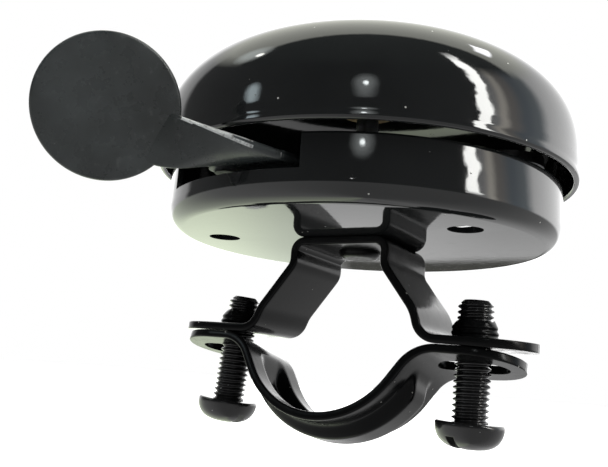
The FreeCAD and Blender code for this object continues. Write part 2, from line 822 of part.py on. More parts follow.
def build_idler():
    """Large wheel and small pinion riveted together on a pin welded to the cup's floor."""
    spin = "(idler_pin_radius + running_clearance)"
    half_pitch = "(180 / wheel_teeth)"

    wheel = new_body("idler_wheel", IDLER_X, IDLER_Y, f"idler_bearing + 180 + {half_pitch}")
    root = root_radius("rotor_module", "wheel_teeth")
    ring(wheel, "spigot_radius + 0.02", root, "wheel_height", WHEEL_TOP)
    first = tooth(wheel, "rotor_module", DIMENSIONS["wheel_teeth"], "wheel_height", "plate_thickness")
    pattern(wheel, first, "360", "wheel_teeth")

    pinion = new_body("idler_pinion", IDLER_X, IDLER_Y, "mesh_bearing + 180")
    root = root_radius("sector_module", "pinion_teeth")
    top = f"({LEVER_TOP} + 0.4)"
    revolve(pinion, [
        (spin, "wheel_height"),
        ("spigot_radius", "wheel_height"),
        ("spigot_radius", WHEEL_TOP),
        (root, WHEEL_TOP),
        (root, top),
        (spin, top),
    ])
    first = tooth(pinion, "sector_module", DIMENSIONS["pinion_teeth"], WHEEL_TOP, f"({top} - {WHEEL_TOP})")
    pattern(pinion, first, "360", "pinion_teeth")

    pin = new_body("idler_pin", IDLER_X, IDLER_Y)
    shoulder = "(wheel_height - running_clearance)"
    groove = f"({top} + 0.1)"
    revolve(pin, [
        ("0", FLOOR),
        ("idler_shoulder_radius", FLOOR),
        ("idler_shoulder_radius", shoulder),
        ("idler_pin_radius", shoulder),
        ("idler_pin_radius", groove),
        ("idler_pin_radius - 0.3", groove),
        ("idler_pin_radius - 0.3", f"({groove} + 0.5)"),
        ("idler_pin_radius", f"({groove} + 0.5)"),
        ("idler_pin_radius", f"({groove} + 0.9)"),
        ("0", f"({groove} + 0.9)"),
    ])

    clip = new_body("idler_clip", IDLER_X, IDLER_Y)
    ring(clip, "idler_pin_radius - 0.28", "idler_clip_radius", f"({groove} + 0.05)", f"({groove} + 0.45)")


# ------------------------------------------------------------------ thumb lever

def build_thumb_lever():
    """Toothed sector, hub, arm, twisted neck and round thumb pad, cut and bent from one plate."""
    pivot = FreeCAD.Vector(value(PIVOT_X), value(PIVOT_Y), 0)
    body = new_body("thumb_lever", PIVOT_X, PIVOT_Y)
    pad(body, circle(new_sketch(body, "XY_Plane", "lever_height"), "lever_hub_radius"), "plate_thickness")

    arm = new_sketch(body, "XY_Plane", "lever_height")
    outline(arm, [
        (f"neck_far_x - {PIVOT_X}", f"neck_far_y - {PIVOT_Y}"),
        (f"neck_near_x - {PIVOT_X}", f"neck_near_y - {PIVOT_Y}"),
        ("lever_hub_radius * 0.96", "-lever_hub_radius * 0.26"),
        ("-lever_hub_radius * 0.96", "lever_hub_radius * 0.26"),
    ])
    pad(body, arm, "plate_thickness")

    root = root_radius("sector_module", "sector_full_teeth")
    step = "(360 / sector_full_teeth)"
    first_tooth = f"(mesh_bearing - {step} / 2)"
    low = f"({first_tooth} - {step} * 0.35)"
    high = f"({first_tooth} + {step} * (sector_teeth - 0.65))"
    sector = new_sketch(body, "XY_Plane", "lever_height")
    outline(sector, [
        ("0", "0"),
        (f"{root} * cos({low})", f"{root} * sin({low})"),
        (f"{root} * cos({high})", f"{root} * sin({high})", root),
    ])
    pad(body, sector, "plate_thickness")
    full = DIMENSIONS["sector_full_teeth"]
    first = tooth(body, "sector_module", full, "lever_height", "plate_thickness", value(first_tooth))
    pattern(body, first, f"{step} * (sector_teeth - 1)", "sector_teeth")
    cut(
        body,
        circle(new_sketch(body, "XY_Plane", "lever_height"), "pivot_radius + running_clearance"),
        THROUGH,
        symmetric=True,
    )

    # The pad's own axes: across is level, upward lies in the face, facing points out of it.
    tilt = math.radians(value("pad_tilt"))
    facing = bearing_vector(value("pad_bearing"), math.cos(tilt)) + FreeCAD.Vector(0, 0, math.sin(tilt))
    across = bearing_vector(value("pad_bearing") + 90)
    upward = facing.cross(across)
    centre = FreeCAD.Vector(value("pad_x"), value("pad_y"), value("pad_z")) - pivot

    def rim_point(alias):
        angle = math.radians(value(alias))
        return centre + (across * math.cos(angle) + upward * math.sin(angle)) * value("pad_radius - 0.8")

    middle = FreeCAD.Vector(0, 0, value("lever_height + plate_thickness / 2"))
    near = FreeCAD.Vector(value("neck_near_x"), value("neck_near_y"), 0) - pivot + middle
    far = FreeCAD.Vector(value("neck_far_x"), value("neck_far_y"), 0) - pivot + middle
    root_section = strip_section(body, near, far, FreeCAD.Vector(0, 0, 1), "plate_thickness")
    tip_edges = (rim_point("neck_top_angle"), rim_point("neck_bottom_angle"))
    tip_section = strip_section(body, *tip_edges, -facing, "(plate_thickness - 0.1)")
    doc.recompute()
    neck = body.newObject("PartDesign::AdditiveLoft", "thumb_lever_neck")
    neck.Profile = root_section
    neck.Sections = [tip_section]
    neck.Ruled = True
    doc.recompute()

    disc = free_sketch(body, centre, across, upward)
    pad(body, circle(disc, "pad_radius"), "plate_thickness", symmetric=True)


def strip_section(body, near, far, face, thickness):
    """A flat rectangle across the neck, from its near edge to its far edge."""
    across = (far - near).normalize()
    flat = (face - across * face.dot(across)).normalize()
    sketch = free_sketch(body, near, across, flat)
    width = (far - near).Length
    return outline(sketch, [
        ("0", f"-{thickness} / 2"),
        (width, f"-{thickness} / 2"),
        (width, f"{thickness} / 2"),
        ("0", f"{thickness} / 2"),
    ])


def build_lever_mount():
    """The lever's pin, spacer tube and washer."""
    bore = "(pivot_radius + 0.03)"
    spacer_top = "(lever_height - running_clearance)"
    washer_base = f"({LEVER_TOP} + running_clearance)"
    head_base = f"({washer_base} + washer_thickness)"
    head_top = f"({head_base} + 0.6)"

    spacer = new_body("lever_spacer", PIVOT_X, PIVOT_Y)
    ring(spacer, bore, "spacer_radius", FLOOR, spacer_top)

    washer = new_body("lever_washer", PIVOT_X, PIVOT_Y)
    ring(washer, bore, "lever_washer_radius", washer_base, f"({washer_base} + washer_thickness)")

    pin = new_body("lever_pivot_pin", PIVOT_X, PIVOT_Y)
    revolve(pin, [
        ("0", FLOOR),
        ("pivot_radius", FLOOR),
        ("pivot_radius", head_base),
        ("pivot_radius + 0.9", head_base),
        ("pivot_radius + 0.4", head_top, "0.8"),
        ("0", head_top),
    ])


def small_post(name, x, y, top):
    """A plain welded post on the cup's floor."""
    body = new_body(name, x, y)
    revolve(body, [
        ("0", FLOOR),
        ("small_post_radius", FLOOR),
        ("small_post_radius", f"({top} - 0.2)"),
        ("small_post_radius - 0.2", top),
        ("0", top),
    ])


def build_return_spring():
    """Torsion spring round the spacer: one leg bears on the anchor post, the other hooks the arm's
    left edge. The lever rests against the stop post on the other side."""
    wire = value("wire_radius")
    radius = value("spring_radius")
    turns = value("spring_turns")
    low = value(FLOOR) + 2 * wire
    high = value("lever_height") - 2.2 * wire
    pitch = (high - low) / turns
    pivot = FreeCAD.Vector(value(PIVOT_X), value(PIVOT_Y), 0)

    helix = Part.makeHelix(pitch, high - low, radius)
    section = Part.Wire(Part.makeCircle(wire, FreeCAD.Vector(radius, 0, 0), FreeCAD.Vector(0, 1, 0)))
    coil = Part.Wire(helix).makePipeShell([section], True, True)

    sunk = 0.2                             # how deep each straight leg starts inside the coil

    def leg(start, end):
        return Part.makeCylinder(wire, (end - start).Length, start, end - start)

    # The lower leg leaves the coil at the +X side and runs along -Y to the anchor post.
    lower_start = FreeCAD.Vector(radius, sunk, 0)
    lower_end = FreeCAD.Vector(radius, -value("anchor_reach + small_post_radius"), 0)
    # The upper leg leaves where the coil ends and runs out along its tangent.
    end_bearing = 360 * turns
    upper_start = bearing_vector(end_bearing, radius) + FreeCAD.Vector(0, 0, high - low)
    along = bearing_vector(end_bearing + 90)
    upper_start = upper_start - along * sunk
    upper_end = upper_start + along * value("spring_leg_reach")
    # A short run outward and a hook up past the arm's left edge.
    out = upper_end + bearing_vector(value("hook_bearing"), value("spring_leg_reach"))
    hook_top = out + FreeCAD.Vector(0, 0, value("plate_thickness") + 3 * wire)
    joints = [Part.makeSphere(wire, point) for point in (upper_end, out)]
    stretches = [(lower_start, lower_end), (upper_start, upper_end), (upper_end, out), (out, hook_top)]
    pieces = [leg(start, end) for start, end in stretches]
    spring = doc.addObject("Part::Feature", "return_spring")
    spring.Label = "return_spring"
    spring.Shape = coil.multiFuse(pieces + joints).removeSplitter()
    spring.Placement = FreeCAD.Placement(pivot + FreeCAD.Vector(0, 0, low), FreeCAD.Rotation())
    parts["return_spring"] = spring


# ------------------------------------------------------------------ build and write

build_upper_bracket()
build_lower_strap()
build_clamp_screw("clamp_screw_left", -1)
build_clamp_screw("clamp_screw_right", 1)
build_base_cup()
build_dome()
build_dome_bush()
build_strike_lugs()
build_centre_post()
build_rotor()
build_striker_arm()
build_strikers()
build_idler()
build_thumb_lever()
build_lever_mount()
small_post("spring_anchor_post", ANCHOR_X, f"({PIVOT_Y} - anchor_reach)", f"({FLOOR} + anchor_height)")
small_post("lever_stop_post", "neck_near_x + stop_across", "neck_near_y + stop_back", f"({LEVER_TOP} - 0.1)")
build_return_spring()
doc.recompute()

for item in doc.Objects:
    if "Invalid" in item.State or "Error" in item.State:
        raise RuntimeError(f"{item.Label} failed: {item.State}")
for name, item in parts.items():
    if item.Shape.isNull() or not item.Shape.isValid():
        raise RuntimeError(f"{name} has no valid shape")

os.makedirs("parts", exist_ok=True)
for name, item in parts.items():
    item.Shape.exportStep(f"parts/{name}.step")
    print(name, len(item.Shape.Solids), round(item.Shape.Volume, 2))
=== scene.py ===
import json
import math

import bmesh
import bpy
from mathutils import Matrix, Vector


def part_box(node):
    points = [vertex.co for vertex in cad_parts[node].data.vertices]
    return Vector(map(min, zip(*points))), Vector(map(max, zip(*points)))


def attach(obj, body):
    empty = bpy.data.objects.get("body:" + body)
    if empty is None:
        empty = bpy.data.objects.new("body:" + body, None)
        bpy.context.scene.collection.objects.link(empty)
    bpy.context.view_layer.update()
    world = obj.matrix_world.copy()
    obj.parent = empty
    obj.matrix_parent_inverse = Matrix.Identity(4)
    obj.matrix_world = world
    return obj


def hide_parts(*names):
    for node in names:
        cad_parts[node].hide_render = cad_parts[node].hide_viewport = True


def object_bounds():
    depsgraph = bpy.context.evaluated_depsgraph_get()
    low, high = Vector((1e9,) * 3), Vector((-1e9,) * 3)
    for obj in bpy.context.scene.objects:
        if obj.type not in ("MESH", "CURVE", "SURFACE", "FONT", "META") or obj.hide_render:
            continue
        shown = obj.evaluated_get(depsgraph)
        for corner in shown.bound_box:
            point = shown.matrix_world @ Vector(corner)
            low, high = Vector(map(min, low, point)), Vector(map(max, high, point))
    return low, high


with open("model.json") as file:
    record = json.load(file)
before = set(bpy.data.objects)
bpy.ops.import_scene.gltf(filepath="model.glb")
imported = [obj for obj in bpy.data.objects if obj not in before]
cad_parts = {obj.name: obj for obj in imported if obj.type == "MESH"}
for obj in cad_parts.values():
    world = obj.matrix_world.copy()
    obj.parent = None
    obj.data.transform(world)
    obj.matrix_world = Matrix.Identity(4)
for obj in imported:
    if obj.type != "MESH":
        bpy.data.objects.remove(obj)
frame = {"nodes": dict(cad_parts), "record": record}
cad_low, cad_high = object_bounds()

# Bicycle bell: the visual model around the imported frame. Metres; the origin is the centre of the
# handlebar, +Z points up to the dome, +X to the right clamp screw, +Y along the handlebar.

MM = 0.001
SEGMENTS = 192            # round stretches of the casing
FINE = 96                 # round stretches of small parts

# ------------------------------------------------------------------ sizes taken from the frame

dome_low, dome_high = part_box("dome")
cup_low, cup_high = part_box("base_cup")
bracket_low, bracket_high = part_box("upper_bracket")
lever_low, lever_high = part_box("thumb_lever")
screw_low, screw_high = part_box("clamp_screw_right")

LIP_RADIUS = dome_high.x
CUP_RADIUS = cup_high.x
STRIP_HALF_WIDTH = bracket_high.y
BAR_RADIUS = frame["record"]["mounts"][0]["dims"]["r_mm"] * MM
SHEET = 1.2 * MM                       # bracket and strap thickness
PLATE_TOP = bracket_high.z
FLANGE_TOP = bracket_low.z + SHEET     # upper face of the bracket's flange
HEAD_RADIUS = (screw_high.x - screw_low.x) / 2
SCREW_RADIUS = 2.55 * MM
HEAD_HEIGHT = 3.5 * MM

# The thumb pad: a disc whose place follows from the lever's box and the way that it faces.
PAD_RADIUS = 8.8 * MM
LEVER_SHEET = 1.2 * MM
PAD_BEARING = math.radians(-37.0)
PAD_TILT = math.radians(-18.6)
pad_facing = Vector((
    math.cos(PAD_TILT) * math.cos(PAD_BEARING),
    math.cos(PAD_TILT) * math.sin(PAD_BEARING),
    math.sin(PAD_TILT),
))
pad_across = Vector((-math.sin(PAD_BEARING), math.cos(PAD_BEARING), 0))
pad_upward = pad_facing.cross(pad_across)


def disc_reach(axis):
    """How far the pad's disc reaches from its centre along one axis."""
    lean = pad_facing[axis]
    return PAD_RADIUS * math.sqrt(1 - lean ** 2) + LEVER_SHEET / 2 * abs(lean)


pad_centre = Vector((
    lever_low.x + disc_reach(0),
    lever_low.y + disc_reach(1),
    (lever_low.z + lever_high.z) / 2,
))


# ------------------------------------------------------------------ mesh helpers

def object_from(bm, name, smooth_angle=35):
    """A new object from a bmesh, smooth-shaded up to an angle."""
    bmesh.ops.remove_doubles(bm, verts=bm.verts, dist=1e-7)
    bmesh.ops.recalc_face_normals(bm, faces=bm.faces)
    mesh = bpy.data.meshes.new(name)
    bm.to_mesh(mesh)
    bm.free()
    mesh.set_sharp_from_angle(angle=math.radians(smooth_angle))
    for polygon in mesh.polygons:
        polygon.use_smooth = True
    piece = bpy.data.objects.new(name, mesh)
    bpy.context.scene.collection.objects.link(piece)
    return piece


def skin(bm, rows, around=True, ends=False):
    """Quads between successive rows of points; rows close on themselves when around is set."""
    loops = [[bm.verts.new(point) for point in row] for row in rows]
    count = len(loops[0])
    for low, high in zip(loops, loops[1:]):
        for i in range(count if around else count - 1):
            j = (i + 1) % count
            bm.faces.new((low[i], low[j], high[j], high[i]))
    if ends:
        bm.faces.new(reversed(loops[0]))
        bm.faces.new(loops[-1])
    return loops


def lathe(bm, profile, segments=SEGMENTS, centre=(0, 0)):
    """A surface of revolution of (radius, height) points; equal ends close the body."""
    rows = []
    for radius, height in profile:
        row = []
        for i in range(segments):
            angle = 2 * math.pi * i / segments
            row.append(Vector((
                centre[0] + radius * math.cos(angle),
                centre[1] + radius * math.sin(angle),
                height,
            )))
        rows.append(row)
    skin(bm, rows)
    bmesh.ops.remove_doubles(bm, verts=bm.verts, dist=1e-7)
    bmesh.ops.dissolve_degenerate(bm, edges=bm.edges, dist=1e-8)


def arc(centre, radius, start, end, steps):
    """Points on an arc in degrees, both ends included."""
    points = []
    for i in range(steps + 1):
        angle = math.radians(start + (end - start) * i / steps)
        points.append((centre[0] + radius * math.cos(angle), centre[1] + radius * math.sin(angle)))
    return points


def apply_modifiers(piece):
    """The piece with its modifiers made real."""
    graph = bpy.context.evaluated_depsgraph_get()
    mesh = bpy.data.meshes.new_from_object(piece.evaluated_get(graph))
    piece.modifiers.clear()
    piece.data = mesh


def carve(piece, cutters):
    """Cut the cutters out of the piece, then throw them away."""
    for cutter in cutters:
        modifier = piece.modifiers.new("cut", "BOOLEAN")
        modifier.object = cutter
        modifier.solver = "EXACT"
    apply_modifiers(piece)
    for cutter in cutters:
        bpy.data.objects.remove(cutter)


def soften(piece, width, angle=40, segments=3):
    """Round the sharp edges."""
    modifier = piece.modifiers.new("soften", "BEVEL")
    modifier.width = width
    modifier.segments = segments
    modifier.limit_method = "ANGLE"
    modifier.angle_limit = math.radians(angle)
    modifier.harden_normals = True
    apply_modifiers(piece)


def prism(name, outline, low, high):
    """An upright prism over an (x, y) outline."""
    bm = bmesh.new()
    rows = [[Vector((x, y, z)) for x, y in outline] for z in (low, high)]
    skin(bm, rows, ends=True)
    return object_from(bm, name)


def merge(pieces, name):
    """One object from several."""
    bm = bmesh.new()
    for piece in pieces:
        bm.from_mesh(piece.data)
    mesh = bpy.data.meshes.new(name)
    bm.to_mesh(mesh)
    bm.free()
    for polygon in mesh.polygons:
        polygon.use_smooth = True
    for piece in pieces:
        bpy.data.objects.remove(piece)
    merged = bpy.data.objects.new(name, mesh)
    bpy.context.scene.collection.objects.link(merged)
    return merged


def finish_piece(piece, material, body, node):
    """Material and body of a finished piece; its CAD node is hidden."""
    piece.data.materials.clear()
    piece.data.materials.append(material)
    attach(piece, body)
    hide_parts(node)


# ------------------------------------------------------------------ materials

def new_material(name):
    """A node material with its principled shader and a position in millimetres."""
    material = bpy.data.materials.new(name)
    material.use_nodes = True
    nodes = material.node_tree.nodes
    links = material.node_tree.links
    shader = nodes["Principled BSDF"]
    coordinates = nodes.new("ShaderNodeTexCoord")
    scale = nodes.new("ShaderNodeVectorMath")
    scale.operation = "SCALE"
    scale.inputs["Scale"].default_value = 1000
    links.new(coordinates.outputs["Object"], scale.inputs[0])
    return material, nodes, links, shader, scale.outputs[0]


def noise(nodes, links, place, scale, detail=3.0, roughness=0.5):
    """Fractal noise with features of about 1/scale millimetres."""
    texture = nodes.new("ShaderNodeTexNoise")
    texture.inputs["Scale"].default_value = scale
    texture.inputs["Detail"].default_value = detail
    texture.inputs["Roughness"].default_value = roughness
    links.new(place, texture.inputs["Vector"])
    return texture.outputs["Fac"]


def remap(nodes, links, value, low, high, to_low, to_high):
    """A value moved from one range to another, held at its ends."""
    node = nodes.new("ShaderNodeMapRange")
    node.clamp = True
    node.inputs["From Min"].default_value = low
    node.inputs["From Max"].default_value = high
    node.inputs["To Min"].default_value = to_low
    node.inputs["To Max"].default_value = to_high
    links.new(value, node.inputs["Value"])
    return node.outputs["Result"]


def calculate(nodes, links, operation, a, b):
    """One arithmetic step; a and b are sockets or numbers."""
    node = nodes.new("ShaderNodeMath")
    node.operation = operation
    for socket, item in zip(node.inputs, (a, b)):
        if isinstance(item, (int, float)):
            socket.default_value = item
        else:
            links.new(item, socket)
    return node.outputs[0]


def specks(nodes, links, place, spacing, size, share):
    """Small round specks of dust: a share of the cells of a grid holds one."""
    cells = nodes.new("ShaderNodeTexVoronoi")
    cells.inputs["Scale"].default_value = 1 / spacing
    links.new(place, cells.inputs["Vector"])
    near = remap(nodes, links, cells.outputs["Distance"], size * 0.5, size, 1.0, 0.0)
    split = nodes.new("ShaderNodeSeparateColor")
    links.new(cells.outputs["Color"], split.inputs[0])
    chosen = calculate(nodes, links, "LESS_THAN", split.outputs[0], share)
    return calculate(nodes, links, "MULTIPLY", near, chosen)


def hairlines(nodes, links, place, turn, share):
    """Straight hairline scratches: specks stretched to many times their width along one direction."""
    mapping = nodes.new("ShaderNodeMapping")
    mapping.inputs["Rotation"].default_value = turn
    mapping.inputs["Scale"].default_value = (0.06, 1.0, 1.0)
    links.new(place, mapping.inputs["Vector"])
    return specks(nodes, links, mapping.outputs[0], 0.9, 0.07, share)


def mix_colour(nodes, links, factor, first, second):
    """A colour between two, by a factor; each is a socket or a linear RGB."""
    node = nodes.new("ShaderNodeMix")
    node.data_type = "RGBA"
    links.new(factor, node.inputs["Factor"])
    for socket, item in zip((node.inputs[6], node.inputs[7]), (first, second)):
        if isinstance(item, tuple):
            socket.default_value = (*item, 1)
        else:
            links.new(item, socket)
    return node.outputs[2]


def bump(nodes, links, shader, height, distance):
    """A bump of the given height in metres on the shader's normal."""
    node = nodes.new("ShaderNodeBump")
    node.inputs["Strength"].default_value = 1.0
    node.inputs["Distance"].default_value = distance
    links.new(height, node.inputs["Height"])
    links.new(node.outputs[0], shader.inputs["Normal"])


def enamel(name, colour, dust_colour, roughness, dust_share, wear, gloss):
    """Black enamel: a clear gloss over dark paint, orange peel, dust specks and hairline scratches.
    The gloss is the clear coat's refractive index."""
    material, nodes, links, shader, place = new_material(name)
    cloud = noise(nodes, links, place, 0.16, 4.0, 0.6)
    tint = mix_colour(nodes, links, cloud, colour, tuple(1.7 * c for c in colour))
    dust = specks(nodes, links, place, 1.1, 0.13, dust_share)
    fluff = specks(nodes, links, place, 3.7, 0.05, dust_share * 0.6)
    dirt = calculate(nodes, links, "MAXIMUM", dust, fluff)
    scored = calculate(
        nodes, links, "MAXIMUM",
        hairlines(nodes, links, place, (0.4, 0.9, 0.2), 0.06),
        hairlines(nodes, links, place, (1.2, 0.1, 1.9), 0.04))
    marked = calculate(nodes, links, "MULTIPLY", scored, wear)
    scratched = mix_colour(nodes, links, marked, tint, (0.32, 0.33, 0.33))
    links.new(mix_colour(nodes, links, dirt, scratched, dust_colour), shader.inputs["Base Color"])
    haze = noise(nodes, links, place, 0.5, 5.0, 0.65)
    rough = remap(nodes, links, haze, 0.35, 0.75, roughness * 0.7, roughness * 1.9)
    rough = calculate(nodes, links, "ADD", rough, calculate(nodes, links, "MULTIPLY", marked, 0.3))
    links.new(calculate(nodes, links, "ADD", rough, calculate(nodes, links, "MULTIPLY", dirt, 0.5)),
              shader.inputs["Roughness"])
    shader.inputs["IOR"].default_value = gloss
    peel = noise(nodes, links, place, 0.9, 2.0)
    grooves = calculate(nodes, links, "MULTIPLY", scored, 0.4)
    height = calculate(nodes, links, "SUBTRACT", peel, grooves)
    bump(nodes, links, shader, calculate(nodes, links, "ADD", height, dirt), 0.004 * MM)
    return material


def satin_enamel(name):
    """The thumb lever's duller enamel: soft gloss, cloudy smears, fine grain and rubbed specks."""
    material, nodes, links, shader, place = new_material(name)
    cloud = remap(nodes, links, noise(nodes, links, place, 0.10, 6.0, 0.62), 0.36, 0.64, 0.0, 1.0)
    tint = mix_colour(nodes, links, cloud, (0.017, 0.020, 0.020), (0.038, 0.044, 0.045))
    dust = specks(nodes, links, place, 0.9, 0.12, 0.14)
    fluff = specks(nodes, links, place, 2.6, 0.10, 0.20)
    nicks = hairlines(nodes, links, place, (0.3, 0.5, 0.8), 0.10)
    dirt = calculate(nodes, links, "MAXIMUM", calculate(nodes, links, "MAXIMUM", dust, fluff), nicks)
    smear = remap(nodes, links, noise(nodes, links, place, 0.7, 4.0, 0.7), 0.60, 0.74, 0.0, 0.35)
    marked = calculate(nodes, links, "MAXIMUM", calculate(nodes, links, "MULTIPLY", dirt, 0.6), smear)
    links.new(mix_colour(nodes, links, marked, tint, (0.14, 0.15, 0.15)), shader.inputs["Base Color"])
    haze = noise(nodes, links, place, 0.35, 5.0, 0.65)
    links.new(remap(nodes, links, haze, 0.35, 0.65, 0.20, 0.42), shader.inputs["Roughness"])
    grain = noise(nodes, links, place, 3.0, 3.0, 0.6)
    bump(nodes, links, shader, calculate(nodes, links, "ADD", grain, dirt), 0.008 * MM)
    return material


def metal(name, colour, roughness, stretch, grime, bare=1.0):
    """Plated or machined metal: turning or drawing marks along one direction and dark grime. Less
    than fully bare metal also scatters light diffusely in its own colour; the pale edge steel uses
    this for its painted highlight."""
    material, nodes, links, shader, place = new_material(name)
    mapping = nodes.new("ShaderNodeMapping")
    mapping.inputs["Scale"].default_value = stretch
    links.new(place, mapping.inputs["Vector"])
    marks = noise(nodes, links, mapping.outputs[0], 2.0, 4.0, 0.6)
    patina = noise(nodes, links, place, 0.35, 5.0, 0.6)
    dulled = tuple(c * 0.62 for c in colour)
    worn = mix_colour(nodes, links, remap(nodes, links, patina, 0.35, 0.7, 0, 1), colour, dulled)
    dark = remap(nodes, links, noise(nodes, links, place, 1.3, 4.0), 0.58, 0.72, 0.0, grime)
    links.new(mix_colour(nodes, links, dark, worn, (0.06, 0.05, 0.04)), shader.inputs["Base Color"])
    shader.inputs["Metallic"].default_value = bare
    rough = remap(nodes, links, marks, 0.3, 0.7, roughness * 0.75, roughness * 1.35)
    links.new(calculate(nodes, links, "ADD", rough, calculate(nodes, links, "MULTIPLY", dark, 0.4)),
              shader.inputs["Roughness"])
    bump(nodes, links, shader, marks, 0.01 * MM)
    return material


gloss_enamel = enamel(
    "gloss_enamel", colour=(0.0075, 0.0082, 0.0085), dust_colour=(0.55, 0.55, 0.52),
    roughness=0.045, dust_share=0.035, wear=0.35, gloss=1.62)
clamp_enamel = enamel(
    "clamp_enamel", colour=(0.0040, 0.0042, 0.0044), dust_colour=(0.34, 0.34, 0.32),
    roughness=0.140, dust_share=0.12, wear=0.30, gloss=1.20)
screw_finish = enamel(
    "screw_finish", colour=(0.0080, 0.0080, 0.0085), dust_colour=(0.45, 0.45, 0.44),
    roughness=0.16, dust_share=0.12, wear=0.5, gloss=1.6)
pad_enamel = satin_enamel("pad_enamel")
# Zinc of the inner works, darker than plated zinc: painted shade for the dark inside of the bell.
SHADED_ZINC_COLOUR = (0.30, 0.31, 0.32)
EVEN = (1.0, 1.0, 1.0)                 # marks that run no particular way
shaded_zinc = metal("zinc_plate", SHADED_ZINC_COLOUR, 0.34, EVEN, 0.5)
# Brass, darker than bare brass: painted shade for the dark inside of the bell.
shaded_brass = metal("machined_brass", (0.42, 0.30, 0.13), 0.30, (0.3, 0.3, 6.0), 0.4)
# Pale steel for the lever neck's edge: a painted highlight, laid as paint rubbed off.
rubbed_steel = metal("rubbed_steel", (0.62, 0.64, 0.64), 0.30, EVEN, 0.95, 0.45)
spring_steel = metal("spring_steel", (0.22, 0.23, 0.24), 0.36, (3.0, 3.0, 0.6), 0.4)


def paint_below(material, level):
    """Black paint over a metal, up to a level."""
    nodes = material.node_tree.nodes
    links = material.node_tree.links
    shader = nodes["Principled BSDF"]
    split = nodes.new("ShaderNodeSeparateXYZ")
    links.new(nodes.new("ShaderNodeTexCoord").outputs["Object"], split.inputs[0])
    bare = remap(nodes, links, split.outputs["Z"], level, level + 0.1 * MM, 0.0, 1.0)
    metal_colour = shader.inputs["Base Color"].links[0].from_socket
    paint = (0.005, 0.005, 0.005)
    paint_gloss = 1.24                    # refractive index
    links.new(mix_colour(nodes, links, bare, paint, metal_colour), shader.inputs["Base Color"])
    links.new(bare, shader.inputs["Metallic"])
    shader.inputs["IOR"].default_value = paint_gloss


# ------------------------------------------------------------------ dome

def build_dome():
    """The gong: straight wall, tight superelliptic shoulder, smooth crown and a small rolled lip."""
    wall = 0.9 * MM
    radius = LIP_RADIUS + 0.05 * MM
    lip = dome_low.z
    shoulder = lip + 2.6 * MM
    rise = dome_high.z + 0.4 * MM - shoulder
    power = 2.72
    steps = 56

    def crown(offset):
        points = []
        for i in range(steps + 1):
            angle = math.pi / 2 * i / steps
            across = (radius - offset) * math.cos(angle) ** (2 / power)
            upward = (rise - offset) * math.sin(angle) ** (2 / power)
            points.append((max(across, 0.0), shoulder + upward))
        points[-1] = (0.0, shoulder + rise - offset)
        return points

    outer = crown(0.0)
    inner = crown(wall)
    half = wall / 2
    roll = arc((radius - half, lip + half), half * 1.15, -180, 0, 10)
    waist = [(0.06, 1.0), (0.05, 1.5), (0.0, 2.1)]       # inset and height above the lip, in mm
    flare_out = [(radius - inset * MM, lip + height * MM) for inset, height in waist]
    flare_in = [(r - wall, z) for r, z in reversed(flare_out)]
    bm = bmesh.new()
    lathe(bm, inner[::-1] + flare_in + roll + flare_out + outer)
    piece = object_from(bm, "dome_shell", 60)
    finish_piece(piece, gloss_enamel, "base", "dome")


# ------------------------------------------------------------------ base cup

def build_cup():
    """Pressed cup with a rounded corner, the lever's window and two holes in the floor."""
    wall = 0.8 * MM
    corner = 2.6 * MM
    floor = cup_low.z
    rim = cup_high.z
    inside = CUP_RADIUS - wall
    profile = [(0, floor), (CUP_RADIUS * 0.45, floor)]
    profile += arc((CUP_RADIUS - corner, floor + corner), corner, -90, 0, 16)
    profile += arc((CUP_RADIUS - wall / 2, rim - wall / 2), wall / 2, 0, 180, 8)
    profile += arc((inside - corner + wall, floor + corner), corner - wall, 0, -90, 12)
    profile += [(CUP_RADIUS * 0.45, floor + wall), (0, floor + wall)]
    bm = bmesh.new()
    lathe(bm, profile)
    piece = object_from(bm, "cup_shell", 60)

    start, end = 234.0, 280.5             # the lever's window, in degrees from +X
    depth = 4.6 * MM
    inner = CUP_RADIUS - 3 * MM
    outer = CUP_RADIUS + 2 * MM
    outline = arc((0, 0), outer, start, end, 24) + arc((0, 0), inner, end, start, 24)
    window = prism("window", outline, rim - depth, rim + 2 * MM)
    cutters = [window]
    for side in (-1, 1):
        hole = bmesh.new()
        x, y, radius = side * 19.5 * MM, -8.8 * MM, 2.4 * MM
        below, above = floor - MM, floor + 2 * MM
        lathe(hole, [(0, below), (radius, below), (radius, above), (0, above)], 48, (x, y))
        cutters.append(object_from(hole, "hole"))
    carve(piece, cutters)
    soften(piece, 0.16 * MM, 50, 2)
    finish_piece(piece, gloss_enamel, "base", "base_cup")


# ------------------------------------------------------------------ clamp strips

def trace(start, steps, spacing=0.35 * MM):
    """A path in the XZ plane, as a turtle walks it: each step is (length,) or (radius, degrees),
    degrees positive to the left. Gives (x, z, heading) at close spacing."""
    x, z = start
    heading = 0.0
    points = [(x, z, heading)]
    for step in steps:
        if len(step) == 1:
            length = step[0]
            turn = 0.0
        else:
            turn = math.radians(step[1])
            length = step[0] * abs(turn)
        count = max(2, int(math.ceil(length / spacing)))
        for _ in range(count):
            heading += turn / count / 2
            x += length / count * math.cos(heading)
            z += length / count * math.sin(heading)
            heading += turn / count / 2
            points.append((x, z, heading))
    return points


